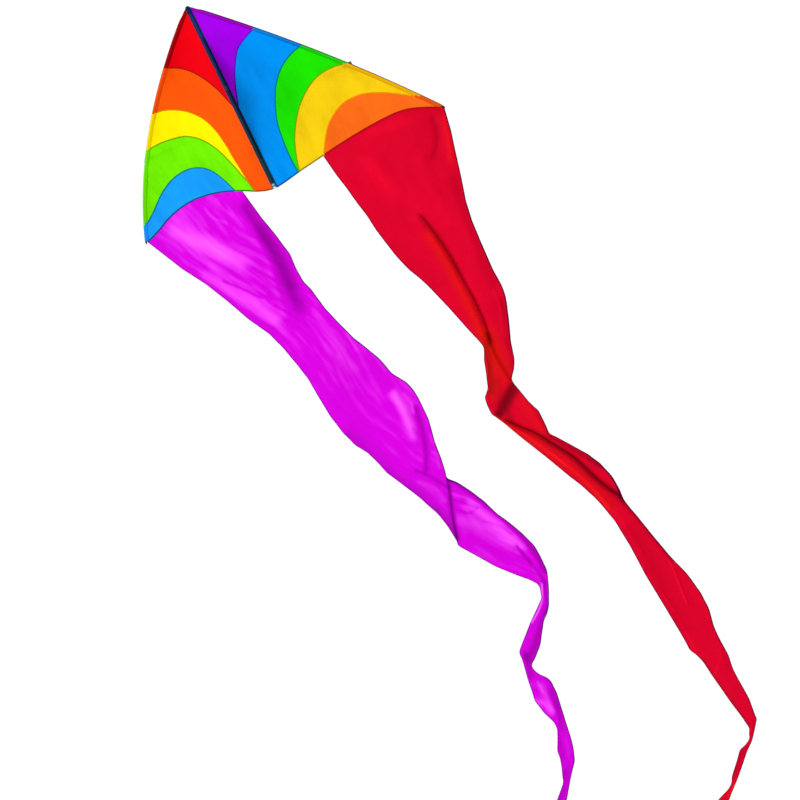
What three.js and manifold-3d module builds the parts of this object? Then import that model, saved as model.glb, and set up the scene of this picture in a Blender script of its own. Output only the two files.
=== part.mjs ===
import * as THREE from 'three';
import { mergeVertices } from 'three/addons/utils/BufferGeometryUtils.js';
import Module from 'manifold-3d';

// Delta kite with two streamer tails. Millimetres, +Z up along the spine, nose at the origin,
// belly (the side that faces the flier) towards -Y, left wing towards -X.

// ---------------------------------------------------------------- driving dimensions
const HALF_SPAN = 530;        // nose line to wing tip, measured along X
const TIP_BACK = 180;         // how far the tips stand behind the spine (dihedral)
const LE_DROP = 600;          // nose to wing tip, measured along Z
const SPINE_LENGTH = 595;     // nose to the foot of the spine
const LE_BOW_OUT = 17.3;      // bow of the leading edge in the plane of the wing
const LE_BOW_FRONT = 59.5;    // bow of the leading edge towards the belly side
const BILLOW = 20;            // depth of the sail's belly between spine and leading edge
const ROD_R = 2;              // 4 mm solid fibreglass rods
const SLEEVE_IN_R = 3.0;      // rod sleeves, sewn cloth tubes
const SLEEVE_OUT_R = 4.2;
const SPINE_SLEEVE_IN_R = 2.6;
const SPINE_SLEEVE_OUT_R = 4.0;
const CLOTH = 1.0;            // modelled cloth thickness
const SEAM_GAP = 0.3;         // gap between neighbouring cloth panels
const PANEL_ROOT = 5.8;       // panels start this far from the spine's axis
const LE_INSET = 5.0;         // panels end this far inside the leading edge's axis
const NOSE_CUT = -25;         // panels start below the nose pocket
const ROD_TOP = 0.07;         // leading-edge rods start this far down the leading edge, clear of each other when folded
const CONNECTOR_T = 0.62;     // place of the spreader connectors along the leading edge
const SPREADER_BACK = 11;     // spreader axis behind the leading-edge rod's axis
const RING_IN_R = 2.35;
const RING_OUT_R = 4.4;
const RING_LENGTH = 14;
const CHANNEL_R = 2.35;
const KEEL_TURN = 20.45;      // degrees that the keel lies turned towards the right wing
const KEEL_TOP = -100;
const KEEL_FOOT = -500;
const KEEL_SEAM = 16;         // width of the sewn strip along the spine
const KEEL_DEPTH = 168;       // spine axis to the keel's corner
const EYELET_X = 147;
const EYELET_Z = -262;
const EYELET_R = 4.5;         // hole of the tow eyelet
const CAP_R = 3.4;            // end caps of the leading-edge rods

const PSI = Math.atan2(TIP_BACK, HALF_SPAN);
const WING_S = Math.hypot(HALF_SPAN, TIP_BACK);
const CHORD = Math.hypot(WING_S, LE_DROP);
const OUT_S = LE_DROP / CHORD;
const OUT_Z = WING_S / CHORD;

// Sewn seams of each wing, as points [s, z]: s runs from the spine towards the tip in the
// plane of the wing, z along the spine. Listed from the leading edge inwards.
const LEFT_SEAMS = {
  red_orange: [[160, -125], [143, -135], [111, -157], [80, -189], [40, -247], [15, -307], [0, -345]],
  orange_yellow: [[276, -240], [256, -244], [227, -246], [193, -261], [150, -294], [116, -344], [100, -413], [93, -486], [86, -545], [80, -590], [75, -640]],
  yellow_green: [[356, -336], [334, -335], [287, -333], [240, -339], [210, -347], [174, -371], [142, -412], [116, -467], [99, -520], [86, -550], [74, -588], [62, -640]],
  green_blue: [[545, -569], [523, -552], [459, -518], [391, -475], [332, -449], [277, -440], [232, -447], [196, -469], [170, -509], [148, -558], [132, -600], [118, -640]],
};
const RIGHT_SEAMS = {
  violet_blue: [[166, -138], [148, -144], [108, -161], [78, -181], [53, -217], [31, -262], [17, -304], [4, -345], [-6, -375]],
  blue_green: [[279, -247], [259, -249], [221, -256], [174, -282], [138, -320], [114, -363], [92, -422], [83, -487], [81, -542], [83, -585], [86, -640]],
  green_yellow: [[375, -362], [355, -356], [315, -346], [266, -349], [223, -367], [179, -401], [145, -441], [116, -490], [97, -542], [87.5, -586], [90, -640]],
  yellow_orange: [[538, -565], [517, -547], [465, -511], [411, -478], [353, -456], [298, -455], [255, -473], [222, -499], [192, -540], [171, -578], [150, -640]],
};
// Trailing edge of each wing, from the spine outwards.
const LEFT_TRAILING = [[-20, -597], [0, -597], [20, -596], [43, -592.5], [75, -584], [123, -567], [188, -549], [242, -539], [310, -535], [378, -544], [430, -558], [472, -574], [520, -590], [556, -600], [600, -612]];
const RIGHT_TRAILING = [[-20, -599], [0, -598], [34, -594], [86, -585], [128, -579], [170, -573], [228, -565], [301, -557], [375, -552.5], [425, -553], [464, -560], [515, -580], [556, -600], [600, -620]];
// Edges of each tail, [left x, y, z, right x, y, z] in rows from the top down.
const LEFT_TAIL = [
  [-446, 146, -713, -95, 41, -664],
  [-348, 119, -858, -73, 63, -799],
  [-269, 115, -1002, -74, 95, -925],
  [-228, 110, -1128, -48, 111, -1053],
  [-210, 103, -1244, 8, 107, -1177],
  [-188, 100, -1372, 69, 101, -1303],
  [-145, 101, -1459, 83, 100, -1410],
  [-117, 103, -1540, 69, 102, -1508],
  [-46, 112, -1684, 52, 108, -1627],
  [-18, 117, -1782, 124, 115, -1737],
  [-16, 120, -1840, 158, 119, -1815],
  [83, 124, -1967, 208, 124, -1947],
  [144, 124, -2022, 207, 124, -2014],
  [155, 123, -2079, 185, 123, -2073],
  [84, 120, -2148, 128, 120, -2158],
  [12, 117, -2221, 52, 115, -2253],
  [-0, 111, -2310, 60, 110, -2325],
  [-8, 107, -2382, 68, 107, -2383],
  [11, 101, -2508, 47, 101, -2532],
  [-12, 100, -2556, 31, 100, -2596],
  [-58, 101, -2678, -24, 101, -2673],
  [-133, 104, -2753, -112, 105, -2775],
];
const RIGHT_TAIL = [
  [173, 57, -643, 521, 166, -667],
  [187, 72, -742, 496, 142, -801],
  [199, 88, -841, 481, 129, -874],
  [250, 100, -1023, 474, 109, -995],
  [295, 100, -1142, 476, 100, -1145],
  [321, 102, -1231, 450, 103, -1250],
  [338, 105, -1296, 426, 106, -1313],
  [311, 109, -1378, 376, 112, -1419],
  [271, 113, -1444, 390, 117, -1504],
  [287, 119, -1535, 405, 122, -1620],
  [362, 124, -1685, 486, 124, -1725],
  [402, 124, -1766, 508, 124, -1764],
  [473, 117, -1948, 544, 116, -1953],
  [491, 106, -2138, 602, 105, -2146],
  [505, 101, -2255, 626, 101, -2247],
  [518, 101, -2401, 620, 102, -2455],
  [546, 105, -2507, 614, 107, -2555],
  [559, 110, -2594, 613, 113, -2644],
  [573, 115, -2686, 611, 115, -2682],
  [560, 118, -2734, 566, 119, -2744],
  [519, 119, -2758, 536, 120, -2772],
  [459, 122, -2829, 474, 123, -2841],
  [384, 124, -2887, 417, 124, -2899],
  [315, 124, -2926, 338, 124, -2951],
];

// ---------------------------------------------------------------- leading edge and sail surface
// Point of the leading edge in the wing's own frame: s outwards, n towards the back, z up.
function edgePoint(t) {
  const bow = 4 * t * (1 - t);
  return { s: WING_S * t + LE_BOW_OUT * bow * OUT_S, z: -LE_DROP * t + LE_BOW_OUT * bow * OUT_Z, n: -LE_BOW_FRONT * bow };
}

// Parameter of the leading edge at a height z.
function edgeAt(z) {
  const a = -4 * LE_BOW_OUT * OUT_Z;
  const b = -LE_DROP + 4 * LE_BOW_OUT * OUT_Z;
  return (-b - Math.sqrt(b * b + 4 * a * z)) / (2 * a);
}

// Offset of the sail from the flat wing plane.
function sailOffset(s, z) {
  const t = Math.min(Math.max(edgeAt(z), -0.05), 1.15);
  const edge = edgePoint(t);
  const u = s / Math.max(edge.s, 0.1);
  const v = Math.min(Math.max(-z / LE_DROP, 0), 1);
  const belly = u > 0 && u < 1 ? BILLOW * 4 * u * (1 - u) * Math.sin(Math.PI * 0.85 * Math.pow(v, 0.8)) : 0;
  return edge.n * u + belly;
}

// Wing frame to kite frame; side is -1 on the left wing and 1 on the right.
function toKite(side, s, n, z) {
  return new THREE.Vector3(side * (s * Math.cos(PSI) - n * Math.sin(PSI)), s * Math.sin(PSI) + n * Math.cos(PSI), z);
}

function edgeKite(side, t) {
  const p = edgePoint(t);
  return toKite(side, p.s, p.n, p.z);
}

function edgeTangent(side, t) {
  return edgeKite(side, t + 0.002).sub(edgeKite(side, t - 0.002)).normalize();
}

// ---------------------------------------------------------------- solids
const wasm = await Module();
wasm.setup();

function bare(geometry) {
  const g = geometry.clone();
  g.deleteAttribute('normal');
  g.deleteAttribute('uv');
  return mergeVertices(g, 1e-4);
}

function solid(geometry) {
  const g = bare(geometry);
  return new wasm.Manifold(new wasm.Mesh({
    numProp: 3,
    vertProperties: new Float32Array(g.attributes.position.array),
    triVerts: new Uint32Array(g.index.array),
  }));
}

function fromSolid(m) {
  const mesh = m.getMesh();
  const g = new THREE.BufferGeometry();
  const xyz = new Float32Array(mesh.numVert * 3);
  for (let i = 0; i < mesh.numVert; i++) {
    for (let k = 0; k < 3; k++) xyz[3 * i + k] = mesh.vertProperties[i * mesh.numProp + k];
  }
  g.setAttribute('position', new THREE.BufferAttribute(xyz, 3));
  g.setIndex(new THREE.BufferAttribute(new Uint32Array(mesh.triVerts), 1));
  g.computeVertexNormals();
  return g;
}

// A right prism over a polygon [[x, z], ...], running along Y between y0 and y1.
function prism(points, y0, y1) {
  const shape = new THREE.Shape(points.map(([x, z]) => new THREE.Vector2(x, z)));
  const g = new THREE.ExtrudeGeometry(shape, { depth: y1 - y0, bevelEnabled: false, steps: 1 });
  g.rotateX(Math.PI / 2);
  g.translate(0, y1, 0);
  return g;
}

function smooth(points, count) {
  const curve = new THREE.SplineCurve(points.map(([a, b]) => new THREE.Vector2(a, b)));
  return curve.getPoints(count).map((p) => [p.x, p.y]);
}

// The same polyline moved sideways by d.
function shifted(points, d) {
  return points.map((p, i) => {
    const a = points[Math.max(i - 1, 0)];
    const b = points[Math.min(i + 1, points.length - 1)];
    const l = Math.hypot(b[0] - a[0], b[1] - a[1]);
    return [p[0] - (b[1] - a[1]) / l * d, p[1] + (b[0] - a[0]) / l * d];
  });
}

// A tube or a rod along a run of the leading edge.
function alongEdge(side, t0, t1, outer, inner, steps) {
  const points = [];
  for (let i = 0; i <= steps; i++) {
    const p = edgePoint(t0 + (t1 - t0) * i / steps);
    points.push(new THREE.Vector3(side * p.s, p.n, p.z));
  }
  const shape = new THREE.Shape();
  shape.absarc(0, 0, outer, 0, Math.PI * 2, false);
  if (inner) {
    const hole = new THREE.Path();
    hole.absarc(0, 0, inner, 0, Math.PI * 2, true);
    shape.holes.push(hole);
  }
  return new THREE.ExtrudeGeometry(shape, { steps, curveSegments: 5, bevelEnabled: false, extrudePath: new THREE.CatmullRomCurve3(points) });
}

function lathe(profile, segments) {
  return new THREE.LatheGeometry(profile.map(([r, y]) => new THREE.Vector2(r, y)), segments);
}

// A box splits the squares of its +Y and -Y faces along opposite diagonals. This gives both
// faces the same ones, so that the two sides of a twisted sheet stay parallel.
function matchedBox(width, depth, height, nx, nz) {
  const g = new THREE.BoxGeometry(width, depth, height, nx, 1, nz);
  const face = g.groups[3];
  for (let i = face.start; i < face.start + face.count; i += 6) {
    g.index.setX(i + 2, g.index.getX(i + 4));
    g.index.setX(i + 3, g.index.getX(i));
  }
  return g;
}

// A strip of cloth through rows of points: at(u, v) gives the middle surface, thickness along Y.
function strip(at, nx, nz) {
  const g = matchedBox(1, 1, 1, nx, nz);
  const p = g.attributes.position;
  for (let i = 0; i < p.count; i++) {
    const q = at(p.getX(i) + 0.5, 0.5 - p.getZ(i));
    p.setXYZ(i, q.x, q.y + p.getY(i) * CLOTH, q.z);
  }
  return g;
}

// ---------------------------------------------------------------- assembly helpers
const kite = new THREE.Group();
kite.name = 'delta_kite';

function cloth(color) {
  return new THREE.MeshStandardMaterial({ color, roughness: 0.55, metalness: 0, side: THREE.DoubleSide });
}

const NAVY = cloth(0x16345c);
const ROD = new THREE.MeshStandardMaterial({ color: 0x1b1b1e, roughness: 0.35, metalness: 0 });
const VINYL = new THREE.MeshStandardMaterial({ color: 0x141416, roughness: 0.5, metalness: 0 });
const TAG = cloth(0x39888c);
const BRASS = new THREE.MeshStandardMaterial({ color: 0xb9a25a, roughness: 0.3, metalness: 1 });

function add(parent, name, geometry, material) {
  const mesh = new THREE.Mesh(geometry, material);
  mesh.name = name;
  parent.add(mesh);
  return mesh;
}

// ---------------------------------------------------------------- wings
function sailSlab(side) {
  const g = matchedBox(660, CLOTH, 680, 15, 15);
  g.translate(side * 300, 0, -310);
  const p = g.attributes.position;
  for (let i = 0; i < p.count; i++) p.setY(i, p.getY(i) + sailOffset(side * p.getX(i), p.getZ(i)));
  return g;
}

function sailOutline(side, trailing) {
  const edge = [];
  for (let i = 0; i <= 28; i++) {
    const t = -0.03 + 1.1 * i / 28;
    const a = edgePoint(t);
    const b = edgePoint(t + 0.001);
    const l = Math.hypot(b.s - a.s, b.z - a.z);
    edge.push([a.s + (b.z - a.z) / l * LE_INSET, a.z - (b.s - a.s) / l * LE_INSET]);
  }
  const flip = (pts) => pts.map(([s, z]) => [side * s, z]);
  const inside = solid(prism(flip([...edge, [-80, -800], [-80, 100]]), -200, 200));
  const above = solid(prism(flip([...smooth(trailing, 44), [700, 200], [-100, 200]]), -200, 200));
  const off = solid(prism(flip([[PANEL_ROOT, NOSE_CUT], [700, NOSE_CUT], [700, -700], [PANEL_ROOT, -700]]), -200, 200));
  return inside.intersect(above).intersect(off);
}

function noseSide(side, seam, gap) {
  const line = shifted(smooth(seam, 22), gap);
  const end = line[line.length - 1];
  return solid(prism([...line, [-90, end[1]], [-90, 90], [800, 90]].map(([s, z]) => [side * s, z]), -200, 200));
}

function buildWing(side, label, seams, trailing, colours) {
  const wing = new THREE.Group();
  wing.rotation.z = side * PSI;
  kite.add(wing);
  const sail = solid(sailSlab(side)).intersect(sailOutline(side, trailing));
  const cuts = Object.values(seams);
  colours.forEach(([name, color], k) => {
    let piece = sail;
    if (k < cuts.length) piece = piece.intersect(noseSide(side, cuts[k], -SEAM_GAP / 2));
    for (let i = 0; i < k; i++) piece = piece.subtract(noseSide(side, cuts[i], SEAM_GAP / 2));
    add(wing, `${label}_panel_${name}`, fromSolid(piece), cloth(color));
  });
  add(wing, `${label}_leading_edge_rod`, alongEdge(side, ROD_TOP, 0.994, ROD_R, 0, 24), ROD);
  const window = 8.2 / 833;
  add(wing, `${label}_sleeve_front`, alongEdge(side, ROD_TOP - 0.008, CONNECTOR_T - window, SLEEVE_OUT_R, SLEEVE_IN_R, 14), cloth(colours[0][1]));
  add(wing, `${label}_sleeve_rear`, alongEdge(side, CONNECTOR_T + window, 0.974, SLEEVE_OUT_R, SLEEVE_IN_R, 10), cloth(colours[3][1]));
  // end cap over the rod at the wing tip
  const cap = lathe([[2.35, 0], [CAP_R, 0], [CAP_R, 15], [2.6, 19], [1.2, 21], [0, 21], [0, 17], [2.35, 17], [2.35, 0]], 12);
  const mesh = add(kite, `${label}_tip_cap`, cap, VINYL);
  mesh.position.copy(edgeKite(side, 0.976));
  mesh.quaternion.setFromUnitVectors(new THREE.Vector3(0, 1, 0), edgeTangent(side, 0.987));
}

buildWing(-1, 'left', LEFT_SEAMS, LEFT_TRAILING, [['red', 0xe50012], ['orange', 0xff5a0a], ['yellow', 0xffe600], ['green', 0x66dd00], ['blue', 0x0e9cff]]);
buildWing(1, 'right', RIGHT_SEAMS, RIGHT_TRAILING, [['violet', 0xa000ea], ['blue', 0x0594f8], ['green', 0x1ee800], ['yellow', 0xf8d20c], ['orange', 0xff6a14]]);

// ---------------------------------------------------------------- spine
{
  const rod = new THREE.CylinderGeometry(ROD_R, ROD_R, SPINE_LENGTH - 26, 14);
  rod.rotateX(Math.PI / 2);
  rod.translate(0, 0, -11 - (SPINE_LENGTH - 26) / 2);
  add(kite, 'spine_rod', rod, ROD);
  const top = -11;
  const foot = -SPINE_LENGTH + 16;
  const sleeve = lathe([[SPINE_SLEEVE_IN_R, foot], [SPINE_SLEEVE_OUT_R, foot], [SPINE_SLEEVE_OUT_R, top], [SPINE_SLEEVE_IN_R, top], [SPINE_SLEEVE_IN_R, foot]], 16);
  sleeve.rotateX(Math.PI / 2);
  add(kite, 'spine_sleeve', sleeve, NAVY);
  const pocket = lathe([[4.5, -22], [7, -22], [7, -7], [6, -3.4], [3.6, -0.9], [0, 0], [0, -10.2], [4.5, -10.2], [4.5, -22]].map(([r, y]) => [r, y]), 18);
  pocket.rotateX(Math.PI / 2);
  add(kite, 'nose_pocket', pocket, NAVY);
  const end = lathe([[2.5, foot - 0.4], [2.5, -SPINE_LENGTH + 6], [0, -SPINE_LENGTH + 6], [0, -SPINE_LENGTH], [5, -SPINE_LENGTH], [5, foot - 0.4], [2.5, foot - 0.4]], 16);
  end.rotateX(Math.PI / 2);
  add(kite, 'spine_end_cap', end, TAG);
}

// ---------------------------------------------------------------- keel, turned about the spine
{
  const keel = new THREE.Group();
  keel.rotation.z = THREE.MathUtils.degToRad(-90 + KEEL_TURN);
  kite.add(keel);
  const r0 = SPINE_SLEEVE_OUT_R + 0.8;
  add(keel, 'keel_seam_strip', prism([[r0, KEEL_TOP - 2], [KEEL_SEAM - 0.15, KEEL_TOP - 2], [KEEL_SEAM - 0.15, KEEL_FOOT + 2], [r0, KEEL_FOOT + 2]], -0.6, 0.6), NAVY);
  const outline = [[KEEL_SEAM + 0.15, KEEL_TOP - 4], [60, -146], [110, -197], [KEEL_DEPTH - 8, -246], [KEEL_DEPTH, -256], [KEEL_DEPTH - 1, -268], [KEEL_DEPTH - 10, -280], [110, -338], [60, -414], [KEEL_SEAM + 0.15, KEEL_FOOT + 4]];
  const hole = (r) => {
    const g = new THREE.CylinderGeometry(r, r, 20, 24);
    g.translate(EYELET_X, 0, EYELET_Z);
    return solid(g);
  };
  add(keel, 'keel_panel', fromSolid(solid(prism(outline, -0.5, 0.5)).subtract(hole(5.8))), NAVY);
  const patch = [[118, -222], [KEEL_DEPTH - 10, -251], [KEEL_DEPTH - 2, -258], [KEEL_DEPTH - 3, -267], [KEEL_DEPTH - 12, -276], [118, -312]];
  add(keel, 'keel_patch_left', fromSolid(solid(prism(patch, -1.4, -0.8)).subtract(hole(5.8))), NAVY);
  add(keel, 'keel_patch_right', fromSolid(solid(prism(patch, 0.8, 1.4)).subtract(hole(5.8))), NAVY);
  const eyelet = lathe([[EYELET_R, -2.5], [8, -2.5], [8, -1.7], [5.4, -1.7], [5.4, 1.7], [8, 1.7], [8, 2.5], [EYELET_R, 2.5], [EYELET_R, -2.5]], 24);
  eyelet.translate(EYELET_X, 0, EYELET_Z);
  add(keel, 'tow_eyelet', eyelet, BRASS);
}

// ---------------------------------------------------------------- spreader and its connectors
{
  const left = edgeKite(-1, CONNECTOR_T);
  const right = edgeKite(1, CONNECTOR_T);
  const hinge = edgeTangent(-1, CONNECTOR_T);
  // the way the free end leaves its channel when the spreader swings on the left connector
  const exit = new THREE.Vector3().crossVectors(hinge, new THREE.Vector3(1, 0, 0)).negate();
  exit.x = 0;
  exit.normalize();
  const tilt = Math.atan2(exit.z, exit.y);
  const axis = right.clone().addScaledVector(exit, SPREADER_BACK);
  const half = right.x - 0.8;
  const rod = new THREE.CylinderGeometry(ROD_R, ROD_R, 2 * half, 14);
  rod.rotateZ(Math.PI / 2);
  const spreader = add(kite, 'spreader_rod', rod, ROD);
  spreader.position.set(0, axis.y, axis.z);

  for (const side of [-1, 1]) {
    const p = side < 0 ? left : right;
    const tangent = edgeTangent(side, CONNECTOR_T);
    const q = new THREE.Quaternion().setFromUnitVectors(new THREE.Vector3(0, 1, 0), tangent);
    const ringOuter = new THREE.CylinderGeometry(RING_OUT_R, RING_OUT_R, RING_LENGTH, 18).applyQuaternion(q);
    const ringBore = new THREE.CylinderGeometry(RING_IN_R, RING_IN_R, RING_LENGTH + 8, 18).applyQuaternion(q);
    // boxes are laid out with X along the spreader, Y along the exit way, Z across
    const box = (x0, x1, y0, y1, halfZ) => {
      const g = new THREE.BoxGeometry(x1 - x0, y1 - y0, 2 * halfZ);
      g.translate(side * (x0 + x1) / 2, (y0 + y1) / 2, 0);
      g.rotateX(tilt);
      return g;
    };
    const channel = new THREE.CylinderGeometry(CHANNEL_R, CHANNEL_R, 40, 18);
    channel.rotateZ(Math.PI / 2);
    channel.translate(side * (0.4 - 20), SPREADER_BACK, 0);
    channel.rotateX(tilt);
    const body = solid(ringOuter)
      .add(solid(box(-4, 4, 3.2, 6.2, 3.6)))
      .add(solid(box(-25, 3.6, 5.4, SPREADER_BACK + 1.2, 4.6)))
      .subtract(solid(ringBore))
      .subtract(solid(channel))
      .subtract(solid(box(-40, 0.4, SPREADER_BACK, SPREADER_BACK + 12, CHANNEL_R)));
    const mesh = add(kite, `${side < 0 ? 'left' : 'right'}_spreader_connector`, fromSolid(body), VINYL);
    mesh.position.copy(p);
  }
}

// ---------------------------------------------------------------- tails
function buildTail(side, label, stations, trailing, sOuter, sInner, color) {
  const row = (k) => {
    const a = stations[k];
    return [new THREE.Vector3(a[0], a[1], a[2]), new THREE.Vector3(a[3], a[4], a[5])];
  };
  const edge = smooth(trailing, 200);
  const trailingZ = (s) => {
    const i = Math.max(1, edge.findIndex((p) => p[0] >= s));
    const [a, b] = [edge[i - 1], edge[i]];
    return a[1] + (b[1] - a[1]) * (s - a[0]) / (b[0] - a[0]);
  };
  const [first, second] = side < 0 ? [sOuter, sInner] : [sInner, sOuter];
  // the top of the cloth, which bends at the seam
  const [l0, r0] = row(0);
  const flap = strip((u, v) => {
    const s = first + (second - first) * u;
    const z = trailingZ(s) - 1.0;
    const top = toKite(side, s, sailOffset(s, z), z);
    const low = l0.clone().lerp(r0, u).add(new THREE.Vector3(0, 0, 0.5));
    return top.lerp(low, v);
  }, 14, 3);
  add(kite, `${label}_tail_root`, flap, cloth(color));
  const n = stations.length - 1;
  const tail = strip((u, v) => {
    const k = Math.min(Math.floor(v * n + 1e-6), n - 1);
    const f = v * n - k;
    const [la, ra] = row(k);
    const [lb, rb] = row(k + 1);
    return la.clone().lerp(ra, u).lerp(lb.clone().lerp(rb, u), f);
  }, 2, n);
  add(kite, `${label}_tail`, tail, cloth(color));
}

buildTail(-1, 'left', LEFT_TAIL, LEFT_TRAILING, 546, 124, 0xdc00e6);
buildTail(1, 'right', RIGHT_TAIL, RIGHT_TRAILING, 546, 171, 0xe6001e);

export default kite;
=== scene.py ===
"""Delta kite with two streamer tails: what shows of the object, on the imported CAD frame.
Metres, +Z up along the spine, nose at the origin, belly towards -Y, left wing towards -X."""
import math
import bpy
import numpy as np
from mathutils import Matrix, Vector, noise
from mathutils.geometry import delaunay_2d_cdt


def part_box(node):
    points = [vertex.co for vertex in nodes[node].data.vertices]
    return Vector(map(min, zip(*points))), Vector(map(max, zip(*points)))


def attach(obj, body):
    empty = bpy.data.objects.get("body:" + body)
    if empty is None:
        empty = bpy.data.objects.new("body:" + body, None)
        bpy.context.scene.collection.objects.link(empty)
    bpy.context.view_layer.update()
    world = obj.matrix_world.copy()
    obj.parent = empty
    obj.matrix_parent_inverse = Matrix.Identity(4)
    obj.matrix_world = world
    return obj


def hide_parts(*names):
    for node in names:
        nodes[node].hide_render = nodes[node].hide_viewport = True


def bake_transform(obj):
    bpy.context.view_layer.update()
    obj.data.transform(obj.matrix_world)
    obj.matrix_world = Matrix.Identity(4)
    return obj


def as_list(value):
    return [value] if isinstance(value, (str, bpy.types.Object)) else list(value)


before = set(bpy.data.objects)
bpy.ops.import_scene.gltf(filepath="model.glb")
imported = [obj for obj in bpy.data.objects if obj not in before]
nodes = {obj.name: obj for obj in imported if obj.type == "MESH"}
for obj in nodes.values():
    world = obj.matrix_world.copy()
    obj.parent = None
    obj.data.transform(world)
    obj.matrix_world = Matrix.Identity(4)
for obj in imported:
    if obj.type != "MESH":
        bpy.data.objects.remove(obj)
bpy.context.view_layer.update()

# ------------------------------------------------------------------ numbers shared with the CAD, in millimetres
HALF_SPAN, TIP_BACK, LE_DROP, SPINE_LENGTH = 530.0, 180.0, 600.0, 595.0
LE_BOW_OUT, LE_BOW_FRONT, BILLOW = 17.3, 59.5, 20.0
PANEL_ROOT, LE_INSET, NOSE_CUT = 5.8, 5.0, -25.0
ROD_TOP, CONNECTOR_T, SPREADER_BACK = 0.07, 0.62, 11.0
SLEEVE_R = 4.2
KEEL_TURN = math.radians(20.45)
PSI = math.atan2(TIP_BACK, HALF_SPAN)
WING_S = math.hypot(HALF_SPAN, TIP_BACK)
CHORD = math.hypot(WING_S, LE_DROP)
OUT_S, OUT_Z = LE_DROP / CHORD, WING_S / CHORD
MM = 0.001

LEFT_SEAMS = [
    [[160, -125], [143, -135], [111, -157], [80, -189], [40, -247], [15, -307], [0, -345]],
    [[276, -240], [256, -244], [227, -246], [193, -261], [150, -294], [116, -344], [100, -413], [93, -486], [86, -545], [80, -590], [75, -640]],
    [[356, -336], [334, -335], [287, -333], [240, -339], [210, -347], [174, -371], [142, -412], [116, -467], [99, -520], [86, -550], [74, -588], [62, -640]],
    [[545, -569], [523, -552], [459, -518], [391, -475], [332, -449], [277, -440], [232, -447], [196, -469], [170, -509], [148, -558], [132, -600], [118, -640]],
]
RIGHT_SEAMS = [
    [[166, -138], [148, -144], [108, -161], [78, -181], [53, -217], [31, -262], [17, -304], [4, -345], [-6, -375]],
    [[279, -247], [259, -249], [221, -256], [174, -282], [138, -320], [114, -363], [92, -422], [83, -487], [81, -542], [83, -585], [86, -640]],
    [[375, -362], [355, -356], [315, -346], [266, -349], [223, -367], [179, -401], [145, -441], [116, -490], [97, -542], [87.5, -586], [90, -640]],
    [[538, -565], [517, -547], [465, -511], [411, -478], [353, -456], [298, -455], [255, -473], [222, -499], [192, -540], [171, -578], [150, -640]],
]
LEFT_TRAILING = [[-20, -597], [0, -597], [20, -596], [43, -592.5], [75, -584], [123, -567], [188, -549], [242, -539], [310, -535], [378, -544], [430, -558], [472, -574], [520, -590], [556, -600], [600, -612]]
RIGHT_TRAILING = [[-20, -599], [0, -598], [34, -594], [86, -585], [128, -579], [170, -573], [228, -565], [301, -557], [375, -552.5], [425, -553], [464, -560], [515, -580], [556, -600], [600, -620]]

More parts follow.
